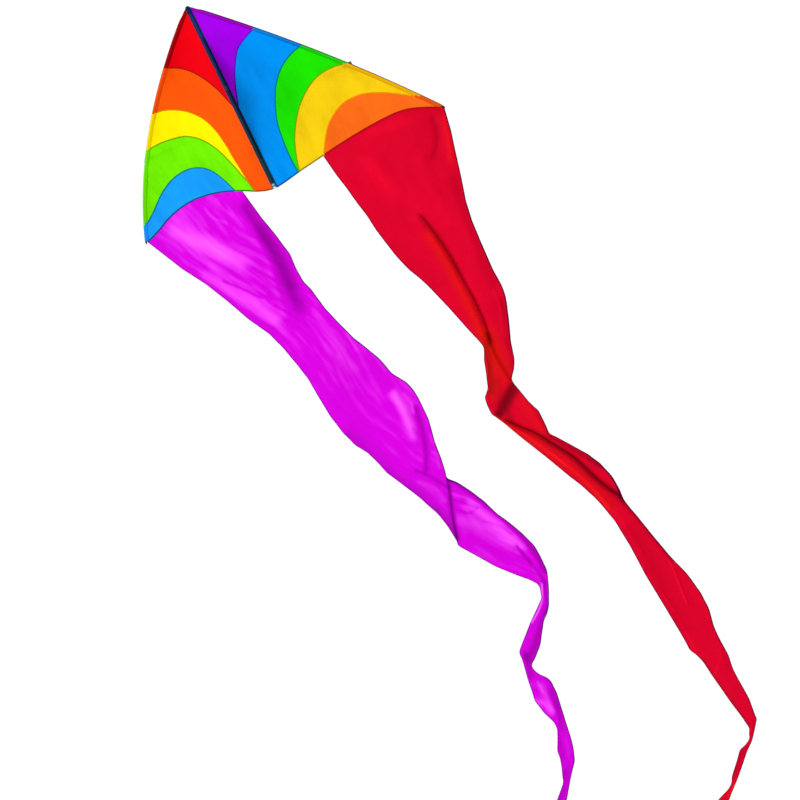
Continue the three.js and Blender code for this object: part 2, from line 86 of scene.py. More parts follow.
# Cloth edges of the tails, rows from the top down: left edge x, y, z, right edge x, y, z, in metres.
# Folds and painted light: line of the fold [(x, z), ...], height towards the belly side, half width, brightness painted
# into the colour (negative is painted shade, positive is painted highlight), half width of that painting.
MAGENTA_ROWS = np.array([
    [-0.4457, 0.1456, -0.7131, -0.0949, 0.0414, -0.6639],
    [-0.4265, 0.1386, -0.7373, -0.0899, 0.0429, -0.6853],
    [-0.4077, 0.1326, -0.7614, -0.0853, 0.0451, -0.7068],
    [-0.3893, 0.1275, -0.7856, -0.0809, 0.0480, -0.7284],
    [-0.3751, 0.1241, -0.8095, -0.0780, 0.0523, -0.7519],
    [-0.3613, 0.1214, -0.8334, -0.0753, 0.0573, -0.7755],
    [-0.3477, 0.1194, -0.8574, -0.0728, 0.0628, -0.7992],
    [-0.3350, 0.1180, -0.8830, -0.0766, 0.0702, -0.8243],
    [-0.3226, 0.1170, -0.9085, -0.0805, 0.0774, -0.8495],
    [-0.3102, 0.1163, -0.9341, -0.0815, 0.0840, -0.8745],
    [-0.2965, 0.1156, -0.9568, -0.0818, 0.0883, -0.8921],
    [-0.2828, 0.1151, -0.9795, -0.0783, 0.0918, -0.9089],
    [-0.2692, 0.1146, -1.0022, -0.0735, 0.0950, -0.9253],
    [-0.2620, 0.1142, -1.0211, -0.0706, 0.0997, -0.9493],
    [-0.2548, 0.1138, -1.0400, -0.0675, 0.1037, -0.9733],
    [-0.2475, 0.1132, -1.0589, -0.0641, 0.1070, -0.9972],
    [-0.2410, 0.1122, -1.0819, -0.0588, 0.1089, -1.0158],
    [-0.2344, 0.1110, -1.1049, -0.0534, 0.1104, -1.0343],
    [-0.2277, 0.1096, -1.1279, -0.0477, 0.1113, -1.0528],
    [-0.2238, 0.1086, -1.1441, -0.0399, 0.1117, -1.0742],
    [-0.2198, 0.1076, -1.1604, -0.0318, 0.1114, -1.0956],
    [-0.2159, 0.1067, -1.1767, -0.0234, 0.1103, -1.1169],
    [-0.2127, 0.1049, -1.2101, -0.0070, 0.1085, -1.1462],
    [-0.2095, 0.1034, -1.2435, 0.0086, 0.1067, -1.1760],
    [-0.2070, 0.1025, -1.2650, 0.0225, 0.1053, -1.2029],
    [-0.2046, 0.1017, -1.2864, 0.0320, 0.1039, -1.2315],
    [-0.2022, 0.1011, -1.3079, 0.0406, 0.1027, -1.2604],
    [-0.1950, 0.1004, -1.3399, 0.0549, 0.1019, -1.2815],
    [-0.1879, 0.1001, -1.3720, 0.0691, 0.1012, -1.3025],
    [-0.1788, 0.1000, -1.3964, 0.0778, 0.1007, -1.3250],
    [-0.1698, 0.1001, -1.4208, 0.0822, 0.1003, -1.3485],
    [-0.1572, 0.1004, -1.4399, 0.0837, 0.1000, -1.3792],
    [-0.1446, 0.1007, -1.4590, 0.0833, 0.1001, -1.4102],
    [-0.1367, 0.1012, -1.4790, 0.0830, 0.1003, -1.4347],
    [-0.1291, 0.1019, -1.4991, 0.0786, 0.1007, -1.4591],
    [-0.1230, 0.1026, -1.5197, 0.0737, 0.1014, -1.4835],
    [-0.1168, 0.1034, -1.5403, 0.0687, 0.1022, -1.5080],
    [-0.1030, 0.1046, -1.5661, 0.0667, 0.1029, -1.5269],
    [-0.0894, 0.1060, -1.5920, 0.0648, 0.1037, -1.5458],
    [-0.0758, 0.1074, -1.6180, 0.0628, 0.1046, -1.5648],
    [-0.0646, 0.1087, -1.6395, 0.0593, 0.1056, -1.5854],
    [-0.0544, 0.1100, -1.6614, 0.0557, 0.1068, -1.6061],
    [-0.0456, 0.1115, -1.6841, 0.0522, 0.1080, -1.6268],
    [-0.0352, 0.1129, -1.7076, 0.0727, 0.1093, -1.6491],
    [-0.0271, 0.1144, -1.7319, 0.0895, 0.1108, -1.6742],
    [-0.0238, 0.1154, -1.7487, 0.1020, 0.1121, -1.6947],
    [-0.0205, 0.1164, -1.7654, 0.1129, 0.1134, -1.7160],
    [-0.0185, 0.1174, -1.7825, 0.1239, 0.1148, -1.7374],
    [-0.0169, 0.1184, -1.8016, 0.1337, 0.1163, -1.7639],
    [-0.0154, 0.1194, -1.8208, 0.1441, 0.1178, -1.7902],
    [-0.0155, 0.1203, -1.8402, 0.1579, 0.1191, -1.8148],
    [0.0037, 0.1214, -1.8671, 0.1731, 0.1205, -1.8448],
    [0.0236, 0.1224, -1.8935, 0.1871, 0.1218, -1.8754],
    [0.0428, 0.1231, -1.9186, 0.1955, 0.1225, -1.8988],
    [0.0621, 0.1236, -1.9436, 0.2039, 0.1231, -1.9221],
    [0.0841, 0.1239, -1.9662, 0.2070, 0.1236, -1.9467],
    [0.1033, 0.1240, -1.9855, 0.2080, 0.1239, -1.9691],
    [0.1231, 0.1240, -2.0042, 0.2076, 0.1240, -1.9915],
    [0.1432, 0.1239, -2.0227, 0.2067, 0.1239, -2.0140],
    [0.1607, 0.1236, -2.0478, 0.1968, 0.1236, -2.0438],
    [0.1549, 0.1229, -2.0789, 0.1855, 0.1230, -2.0731],
    [0.1493, 0.1225, -2.0906, 0.1750, 0.1224, -2.0951],
    [0.1394, 0.1223, -2.0995, 0.1646, 0.1217, -2.1172],
    [0.1118, 0.1214, -2.1239, 0.1484, 0.1208, -2.1389],
    [0.0839, 0.1204, -2.1481, 0.1281, 0.1199, -2.1580],
    [0.0686, 0.1197, -2.1631, 0.1134, 0.1189, -2.1800],
    [0.0533, 0.1190, -2.1781, 0.0988, 0.1177, -2.2020],
    [0.0380, 0.1182, -2.1931, 0.0841, 0.1164, -2.2240],
    [0.0123, 0.1166, -2.2212, 0.0535, 0.1146, -2.2548],
    [0.0095, 0.1151, -2.2476, 0.0307, 0.1133, -2.2763],
    [0.0046, 0.1132, -2.2785, 0.0396, 0.1116, -2.3041],
    [-0.0003, 0.1112, -2.3095, 0.0591, 0.1102, -2.3259],
    [-0.0030, 0.1097, -2.3338, 0.0669, 0.1092, -2.3430],
    [-0.0057, 0.1083, -2.3580, 0.0676, 0.1080, -2.3631],
    [-0.0085, 0.1069, -2.3823, 0.0683, 0.1068, -2.3833],
    [-0.0032, 0.1056, -2.4053, 0.0650, 0.1055, -2.4074],
    [0.0021, 0.1044, -2.4283, 0.0617, 0.1043, -2.4316],
    [0.0114, 0.1034, -2.4498, 0.0584, 0.1032, -2.4558],
    [0.0180, 0.1027, -2.4684, 0.0548, 0.1022, -2.4811],
    [0.0181, 0.1019, -2.4887, 0.0513, 0.1014, -2.5066],
    [0.0110, 0.1013, -2.5081, 0.0477, 0.1007, -2.5321],
    [-0.0003, 0.1007, -2.5320, 0.0407, 0.1002, -2.5643],
    [-0.0116, 0.1003, -2.5559, 0.0298, 0.1000, -2.5961],
    [-0.0152, 0.1000, -2.5822, 0.0225, 0.1000, -2.6100],
    [-0.0224, 0.1000, -2.6081, 0.0124, 0.1001, -2.6227],
    [-0.0320, 0.1002, -2.6338, 0.0024, 0.1002, -2.6355],
    [-0.0412, 0.1006, -2.6580, -0.0115, 0.1005, -2.6536],
    [-0.0587, 0.1010, -2.6778, -0.0247, 0.1009, -2.6723],
    [-0.0704, 0.1013, -2.6900, -0.0390, 0.1014, -2.6925],
    [-0.0822, 0.1017, -2.7022, -0.0534, 0.1020, -2.7128],
    [-0.0990, 0.1023, -2.7190, -0.0729, 0.1028, -2.7335],
    [-0.1159, 0.1029, -2.7358, -0.0924, 0.1037, -2.7543],
    [-0.1329, 0.1036, -2.7527, -0.1121, 0.1047, -2.7752],
])
MAGENTA_FOLDS_AND_PAINTED_LIGHT = [
    ([(-0.1193, -0.5869), (-0.1054, -0.6807), (-0.1007, -0.7954), (-0.1133, -0.9124), (-0.1176, -1.0095)], -0.018, 0.028, 0.000, 0.002),
    ([(-0.1263, -0.6182), (-0.116, -0.6976), (-0.1153, -0.7824), (-0.1256, -0.8714), (-0.1339, -0.9606)], -0.007, 0.016, -0.381, 0.026),
    ([(-0.116, -0.6976), (-0.1104, -0.7987), (-0.1207, -0.8878)], 0, 0.001, -0.250, 0.02),
    ([(-0.383, -0.5621), (-0.3477, -0.6423), (-0.287, -0.7182)], 0.009, 0.04, 0.134, 0.038),
    ([(-0.265, -0.5727), (-0.2615, -0.5942), (-0.243, -0.6177), (-0.2213, -0.6355)], 0.0028, 0.006, 0.086, 0.006),
    ([(-0.2146, -0.5567), (-0.211, -0.5848), (-0.1894, -0.623)], 0.0028, 0.006, 0.086, 0.006),
    ([(-0.1928, -0.5542), (-0.1792, -0.5927), (-0.1563, -0.628)], -0.0024, 0.006, -0.074, 0.006),
    ([(-0.3314, -0.5732), (-0.314, -0.6132), (-0.2851, -0.6471)], -0.0022, 0.007, -0.036, 0.006),
    ([(-0.4138, -0.5855), (-0.3992, -0.6313), (-0.3641, -0.6773)], -0.002, 0.007, 0.000, 0.002),
    ([(-0.4019, -0.5658), (-0.3826, -0.5963), (-0.3668, -0.6187)], -0.0024, 0.005, -0.074, 0.005),
    ([(-0.4725, -0.5995), (-0.4502, -0.6477), (-0.4041, -0.6973)], 0.0022, 0.007, 0.000, 0.002),
    ([(-0.4912, -0.6169), (-0.4674, -0.6486), (-0.4422, -0.6774)], -0.0022, 0.005, -0.058, 0.005),
    ([(-0.5178, -0.6045), (-0.4882, -0.6484), (-0.4338, -0.714), (-0.4005, -0.7629)], -0.005, 0.012, -0.074, 0.012),
    ([(-0.4082, -0.6756), (-0.363, -0.7388), (-0.314, -0.8047)], -0.0024, 0.008, -0.043, 0.007),
    ([(-0.3252, -0.7971), (-0.2781, -0.8426), (-0.2343, -0.8913)], -0.004, 0.006, -0.156, 0.004),
    ([(-0.3105, -0.7853), (-0.2604, -0.832), (-0.2139, -0.8819)], 0.0026, 0.007, 0.052, 0.006),
    ([(-0.2035, -0.9283), (-0.1789, -0.963), (-0.1559, -1.0005)], -0.003, 0.006, -0.089, 0.004),
    ([(-0.3758, -0.7615), (-0.3238, -0.8355), (-0.2686, -0.9056), (-0.224, -0.9654)], 0.0065, 0.02, 0.134, 0.018),
    ([(-0.4052, -0.7713), (-0.3492, -0.8535), (-0.3057, -0.9393), (-0.2646, -1.0144), (-0.2245, -1.1359)], -0.006, 0.013, -0.074, 0.01),
    ([(-0.1528, -0.7188), (-0.1543, -0.7957), (-0.1787, -0.8855), (-0.194, -0.9638)], 0.006, 0.016, 0.052, 0.014),
    ([(-0.1971, -0.675), (-0.186, -0.7344), (-0.1869, -0.8113)], 0.003, 0.012, 0.000, 0.002),
    ([(-0.1855, -1.0571), (-0.1407, -1.1834), (-0.1256, -1.3116)], 0.005, 0.034, 0.000, 0.002),
    ([(-0.0385, -1.0974), (-0.0346, -1.1258), (-0.0308, -1.1542)], 0.0025, 0.006, 0.086, 0.005),
    ([(-0.0541, -1.1514), (-0.0166, -1.2339), (0.0086, -1.3117)], -0.003, 0.018, -0.036, 0.016),
    ([(-0.1684, -1.2398), (-0.1313, -1.323), (-0.0951, -1.3926)], 0.003, 0.02, 0.000, 0.002),
    ([(-0.0675, -1.2944), (-0.0399, -1.367), (-0.0275, -1.4408)], -0.003, 0.016, -0.021, 0.014),
    ([(0.0189, -1.3193), (0.0198, -1.3674), (0.0175, -1.4213), (0.012, -1.4673)], 0.009, 0.014, 0.179, 0.012),
    ([(0.0467, -1.3341), (0.056, -1.3651), (0.0506, -1.3971)], 0.003, 0.006, 0.102, 0.006),
    ([(0.065, -1.3893), (0.0512, -1.4592), (0.0338, -1.5214), (0.003, -1.5822)], -0.01, 0.009, -0.291, 0.008),
    ([(0.0687, -1.4871), (0.0571, -1.5379), (0.0452, -1.589)], 0.006, 0.009, 0.044, 0.008),
    ([(-0.0291, -1.5691), (0.0043, -1.6003), (0.0259, -1.6338), (0.0388, -1.6532)], -0.006, 0.006, -0.291, 0.005),
    ([(-0.1715, -1.3891), (-0.1343, -1.4701), (-0.1125, -1.5386), (-0.0821, -1.5968), (-0.0577, -1.6527), (-0.0364, -1.7075)], -0.016, 0.02, -0.250, 0.018),
    ([(-0.086, -1.5423), (-0.0628, -1.5799)], 0.003, 0.008, 0.000, 0.002),
    ([(-0.0338, -1.6059), (-0.0034, -1.643), (0.0093, -1.6871)], 0.005, 0.012, 0.102, 0.01),
    ([(-0.0262, -1.7152), (-0.0179, -1.7682), (-0.0154, -1.8189)], -0.008, 0.012, -0.335, 0.014),
    ([(0.0507, -1.6264), (0.0432, -1.655), (0.0297, -1.6884), (0.0041, -1.7594), (-0.014, -1.8231)], 0, 0.001, -0.312, 0.005),
    ([(0.068, -1.6475), (0.1124, -1.7186), (0.1496, -1.7972), (0.1843, -1.8815), (0.2008, -1.9614), (0.2017, -2.0173)], -0.008, 0.012, -0.458, 0.008),
    ([(0.0415, -1.679), (0.0762, -1.7073), (0.1064, -1.7444)], 0.0032, 0.005, 0.102, 0.005),
    ([(0.0355, -1.6978), (0.0673, -1.7249), (0.0933, -1.7496)], -0.0032, 0.005, -0.122, 0.005),
    ([(0.0336, -1.736), (0.0656, -1.756), (0.0962, -1.7508)], -0.0026, 0.005, -0.074, 0.005),
    ([(0.0319, -1.7671), (0.0856, -1.8136), (0.1335, -1.8857)], 0.006, 0.02, 0.134, 0.022),
    ([(0.0944, -1.796), (0.1335, -1.8294), (0.1568, -1.8669)], -0.0034, 0.005, -0.089, 0.004),
    ([(0.116, -1.8646), (0.1496, -1.9026), (0.1702, -1.9388)], 0.0034, 0.006, 0.052, 0.006),
    ([(0.154, -1.9079), (0.1659, -1.9546), (0.1782, -2.0012), (0.1848, -2.0454)], -0.009, 0.007, -0.312, 0.005),
    ([(0.1802, -1.9183), (0.1894, -1.9708)], 0.003, 0.005, 0.000, 0.002),
    ([(0.175, -1.9861), (0.18, -2.0262)], 0.004, 0.006, 0.118, 0.006),
    ([(0.182, -2.0512), (0.1657, -2.1002), (0.1439, -2.1538)], -0.005, 0.005, -0.250, 0.005),
    ([(0.1732, -2.0478), (0.1538, -2.0887), (0.1283, -2.1203), (0.0911, -2.1475)], 0.005, 0.004, 0.504, 0.0032),
    ([(0.1492, -2.1352), (0.1068, -2.181), (0.0643, -2.2269), (0.0341, -2.2465)], -0.004, 0.009, -0.431, 0.016),
    ([(0.0278, -2.2373), (0.022, -2.2798), (0.014, -2.3044)], -0.005, 0.008, -0.358, 0.012),
    ([(0.0309, -2.2832), (0.0556, -2.313), (0.0657, -2.3511)], -0.003, 0.006, -0.201, 0.006),
    ([(0.0302, -2.3449), (0.0316, -2.3868), (0.0329, -2.4288)], 0.006, 0.009, 0.149, 0.01),
    ([(0.0267, -2.3298), (0.0279, -2.3647)], 0.003, 0.004, 0.086, 0.004),
    ([(0.0605, -2.3699), (0.0538, -2.4365), (0.0377, -2.4933)], -0.008, 0.009, -0.270, 0.012),
    ([(0.0257, -2.4889), (0.0047, -2.5408), (-0.0036, -2.5802)], -0.003, 0.006, -0.114, 0.008),
    ([(0.0297, -2.5324), (0.0156, -2.5767), (-0.0106, -2.6168)], 0.005, 0.008, 0.044, 0.008),
    ([(-0.0164, -2.629), (-0.0415, -2.6664), (-0.0758, -2.7081), (-0.13, -2.7685)], -0.004, 0.008, -0.381, 0.012),
    # From here on the strokes have no height: they are painted shade where negative and painted highlight where
    # positive.
    ([(-0.4066, -0.6016), (-0.3136, -0.6814), (-0.2421, -0.7622)], 0, 0.001, 0.236, 0.026),
    ([(-0.3397, -0.754), (-0.2799, -0.8524), (-0.23, -0.9629)], 0, 0.001, 0.118, 0.024),
    ([(-0.1371, -0.9663), (-0.0968, -1.0936), (-0.0555, -1.1978)], 0, 0.001, 0.069, 0.022),
    ([(-0.1499, -1.2745), (-0.1185, -1.3968), (-0.0859, -1.5143)], 0, 0.001, -0.058, 0.022),
    ([(0.0147, -1.3278), (0.0243, -1.3795), (0.0219, -1.4265)], 0, 0.001, 0.179, 0.016),
    ([(0.0774, -1.7325), (0.122, -1.8107), (0.1627, -1.9114)], 0, 0.001, 0.236, 0.016),
    ([(-0.0068, -2.3864), (0.0173, -2.4023), (0.0242, -2.4325)], 0, 0.001, 0.194, 0.011),
    ([(0.0115, -2.5116), (0.0064, -2.552), (-0.0108, -2.5953)], 0, 0.001, -0.174, 0.014),
]
CRIMSON_ROWS = np.array([
    [0.1729, 0.0568, -0.6432, 0.5213, 0.1657, -0.6670],
    [0.1767, 0.0599, -0.6645, 0.5152, 0.1605, -0.6978],
    [0.1805, 0.0632, -0.6859, 0.5091, 0.1551, -0.7287],
    [0.1829, 0.0660, -0.7048, 0.5047, 0.1509, -0.7527],
    [0.1852, 0.0690, -0.7236, 0.5002, 0.1467, -0.7768],
    [0.1874, 0.0721, -0.7425, 0.4958, 0.1424, -0.8008],
    [0.1913, 0.0764, -0.7669, 0.4920, 0.1390, -0.8190],
    [0.1952, 0.0805, -0.7914, 0.4882, 0.1356, -0.8373],
    [0.1971, 0.0841, -0.8162, 0.4844, 0.1321, -0.8555],
    [0.1992, 0.0875, -0.8411, 0.4806, 0.1287, -0.8738],
    [0.2031, 0.0907, -0.8654, 0.4791, 0.1262, -0.8886],
    [0.2073, 0.0934, -0.8897, 0.4776, 0.1236, -0.9035],
    [0.2121, 0.0956, -0.9139, 0.4761, 0.1210, -0.9184],
    [0.2171, 0.0974, -0.9380, 0.4746, 0.1185, -0.9332],
    [0.2260, 0.0990, -0.9671, 0.4744, 0.1152, -0.9539],
    [0.2362, 0.0999, -0.9957, 0.4742, 0.1120, -0.9746],
    [0.2500, 0.1004, -1.0229, 0.4739, 0.1090, -0.9953],
    [0.2570, 0.1004, -1.0389, 0.4740, 0.1060, -1.0187],
    [0.2641, 0.1003, -1.0550, 0.4740, 0.1035, -1.0421],
    [0.2702, 0.1002, -1.0714, 0.4738, 0.1015, -1.0656],
    [0.2760, 0.1001, -1.0879, 0.4734, 0.1004, -1.0893],
    [0.2853, 0.1000, -1.1151, 0.4750, 0.1000, -1.1173],
    [0.2947, 0.1001, -1.1424, 0.4764, 0.1001, -1.1453],
    [0.3014, 0.1003, -1.1646, 0.4741, 0.1004, -1.1720],
    [0.3080, 0.1007, -1.1868, 0.4679, 0.1009, -1.1981],
    [0.3146, 0.1012, -1.2090, 0.4591, 0.1017, -1.2239],
    [0.3211, 0.1019, -1.2313, 0.4502, 0.1026, -1.2498],
    [0.3279, 0.1027, -1.2528, 0.4421, 0.1034, -1.2707],
    [0.3348, 0.1036, -1.2744, 0.4340, 0.1044, -1.2917],
    [0.3390, 0.1046, -1.2963, 0.4258, 0.1055, -1.3127],
    [0.3321, 0.1056, -1.3155, 0.4180, 0.1069, -1.3401],
    [0.3227, 0.1066, -1.3342, 0.4101, 0.1085, -1.3675],
    [0.3157, 0.1078, -1.3555, 0.3955, 0.1102, -1.3944],
    [0.3085, 0.1091, -1.3769, 0.3762, 0.1117, -1.4186],
    [0.3007, 0.1104, -1.3974, 0.3742, 0.1126, -1.4339],
    [0.2929, 0.1116, -1.4180, 0.3777, 0.1136, -1.4501],
    [0.2820, 0.1124, -1.4309, 0.3840, 0.1153, -1.4769],
    [0.2710, 0.1133, -1.4438, 0.3904, 0.1169, -1.5038],
    [0.2666, 0.1149, -1.4703, 0.3978, 0.1180, -1.5242],
    [0.2665, 0.1165, -1.4970, 0.4052, 0.1191, -1.5446],
    [0.2733, 0.1172, -1.5097, 0.4058, 0.1203, -1.5697],
    [0.2802, 0.1179, -1.5224, 0.4057, 0.1213, -1.5950],
    [0.2871, 0.1186, -1.5351, 0.4051, 0.1222, -1.6202],
    [0.2983, 0.1198, -1.5588, 0.4186, 0.1228, -1.6377],
    [0.3096, 0.1208, -1.5825, 0.4322, 0.1232, -1.6552],
    [0.3209, 0.1218, -1.6062, 0.4459, 0.1235, -1.6727],
    [0.3344, 0.1226, -1.6324, 0.4591, 0.1238, -1.6901],
    [0.3479, 0.1233, -1.6586, 0.4724, 0.1239, -1.7074],
    [0.3615, 0.1237, -1.6847, 0.4857, 0.1240, -1.7248],
    [0.3748, 0.1240, -1.7118, 0.4931, 0.1240, -1.7380],
    [0.3881, 0.1240, -1.7388, 0.5004, 0.1239, -1.7511],
    [0.4015, 0.1237, -1.7658, 0.5078, 0.1238, -1.7643],
    [0.4144, 0.1234, -1.7893, 0.5159, 0.1234, -1.7885],
    [0.4269, 0.1228, -1.8129, 0.5241, 0.1228, -1.8128],
    [0.4375, 0.1220, -1.8375, 0.5273, 0.1220, -1.8381],
    [0.4482, 0.1211, -1.8620, 0.5289, 0.1210, -1.8639],
    [0.4574, 0.1199, -1.8902, 0.5282, 0.1197, -1.8946],
    [0.4656, 0.1184, -1.9188, 0.5346, 0.1182, -1.9240],
    [0.4732, 0.1169, -1.9475, 0.5434, 0.1166, -1.9530],
    [0.4769, 0.1152, -1.9763, 0.5503, 0.1150, -1.9786],
    [0.4806, 0.1134, -2.0052, 0.5572, 0.1135, -2.0041],
    [0.4844, 0.1116, -2.0341, 0.5641, 0.1119, -2.0296],
    [0.4857, 0.1103, -2.0548, 0.5710, 0.1104, -2.0532],
    [0.4871, 0.1091, -2.0755, 0.5779, 0.1090, -2.0768],
    [0.4885, 0.1078, -2.0962, 0.5847, 0.1076, -2.1003],
    [0.4898, 0.1066, -2.1169, 0.5926, 0.1063, -2.1236],
    [0.4912, 0.1055, -2.1377, 0.6012, 0.1051, -2.1465],
    [0.4947, 0.1041, -2.1668, 0.6103, 0.1039, -2.1707],
    [0.4981, 0.1028, -2.1960, 0.6166, 0.1028, -2.1958],
    [0.5015, 0.1017, -2.2253, 0.6215, 0.1019, -2.2213],
    [0.5049, 0.1009, -2.2546, 0.6263, 0.1011, -2.2470],
    [0.5072, 0.1005, -2.2769, 0.6274, 0.1005, -2.2744],
    [0.5095, 0.1002, -2.2993, 0.6282, 0.1001, -2.3019],
    [0.5118, 0.1000, -2.3217, 0.6237, 0.1000, -2.3296],
    [0.5140, 0.1000, -2.3442, 0.6191, 0.1001, -2.3573],
    [0.5153, 0.1002, -2.3632, 0.6179, 0.1006, -2.3900],
    [0.5165, 0.1004, -2.3822, 0.6189, 0.1014, -2.4225],
    [0.5178, 0.1008, -2.4012, 0.6205, 0.1025, -2.4552],
    [0.5297, 0.1015, -2.4257, 0.6176, 0.1035, -2.4801],
    [0.5382, 0.1023, -2.4516, 0.6147, 0.1046, -2.5050],
    [0.5420, 0.1034, -2.4793, 0.6147, 0.1059, -2.5299],
    [0.5457, 0.1047, -2.5071, 0.6159, 0.1073, -2.5547],
    [0.5501, 0.1063, -2.5361, 0.6173, 0.1091, -2.5842],
    [0.5545, 0.1079, -2.5651, 0.6181, 0.1109, -2.6139],
    [0.5588, 0.1097, -2.5942, 0.6149, 0.1127, -2.6439],
    [0.5644, 0.1115, -2.6245, 0.6135, 0.1135, -2.6566],
    [0.5701, 0.1134, -2.6548, 0.6121, 0.1143, -2.6693],
    [0.5745, 0.1153, -2.6854, 0.6108, 0.1151, -2.6820],
    [0.5756, 0.1163, -2.7022, 0.5967, 0.1163, -2.7032],
    [0.5680, 0.1172, -2.7184, 0.5819, 0.1175, -2.7238],
    [0.5604, 0.1181, -2.7346, 0.5662, 0.1186, -2.7440],
    [0.5407, 0.1188, -2.7483, 0.5514, 0.1193, -2.7578],
    [0.5190, 0.1193, -2.7582, 0.5365, 0.1200, -2.7717],
    [0.4992, 0.1204, -2.7819, 0.5158, 0.1210, -2.7951],
    [0.4791, 0.1214, -2.8054, 0.4949, 0.1219, -2.8182],
    [0.4591, 0.1222, -2.8289, 0.4737, 0.1226, -2.8412],
    [0.4470, 0.1229, -2.8496, 0.4581, 0.1230, -2.8568],
    [0.4295, 0.1232, -2.8644, 0.4425, 0.1234, -2.8723],
    [0.4071, 0.1234, -2.8755, 0.4295, 0.1236, -2.8855],
    [0.3847, 0.1236, -2.8867, 0.4165, 0.1238, -2.8987],
    [0.3616, 0.1238, -2.8996, 0.3902, 0.1239, -2.9162],
    [0.3384, 0.1239, -2.9125, 0.3639, 0.1240, -2.9338],
    [0.3152, 0.1240, -2.9255, 0.3375, 0.1240, -2.9514],
])
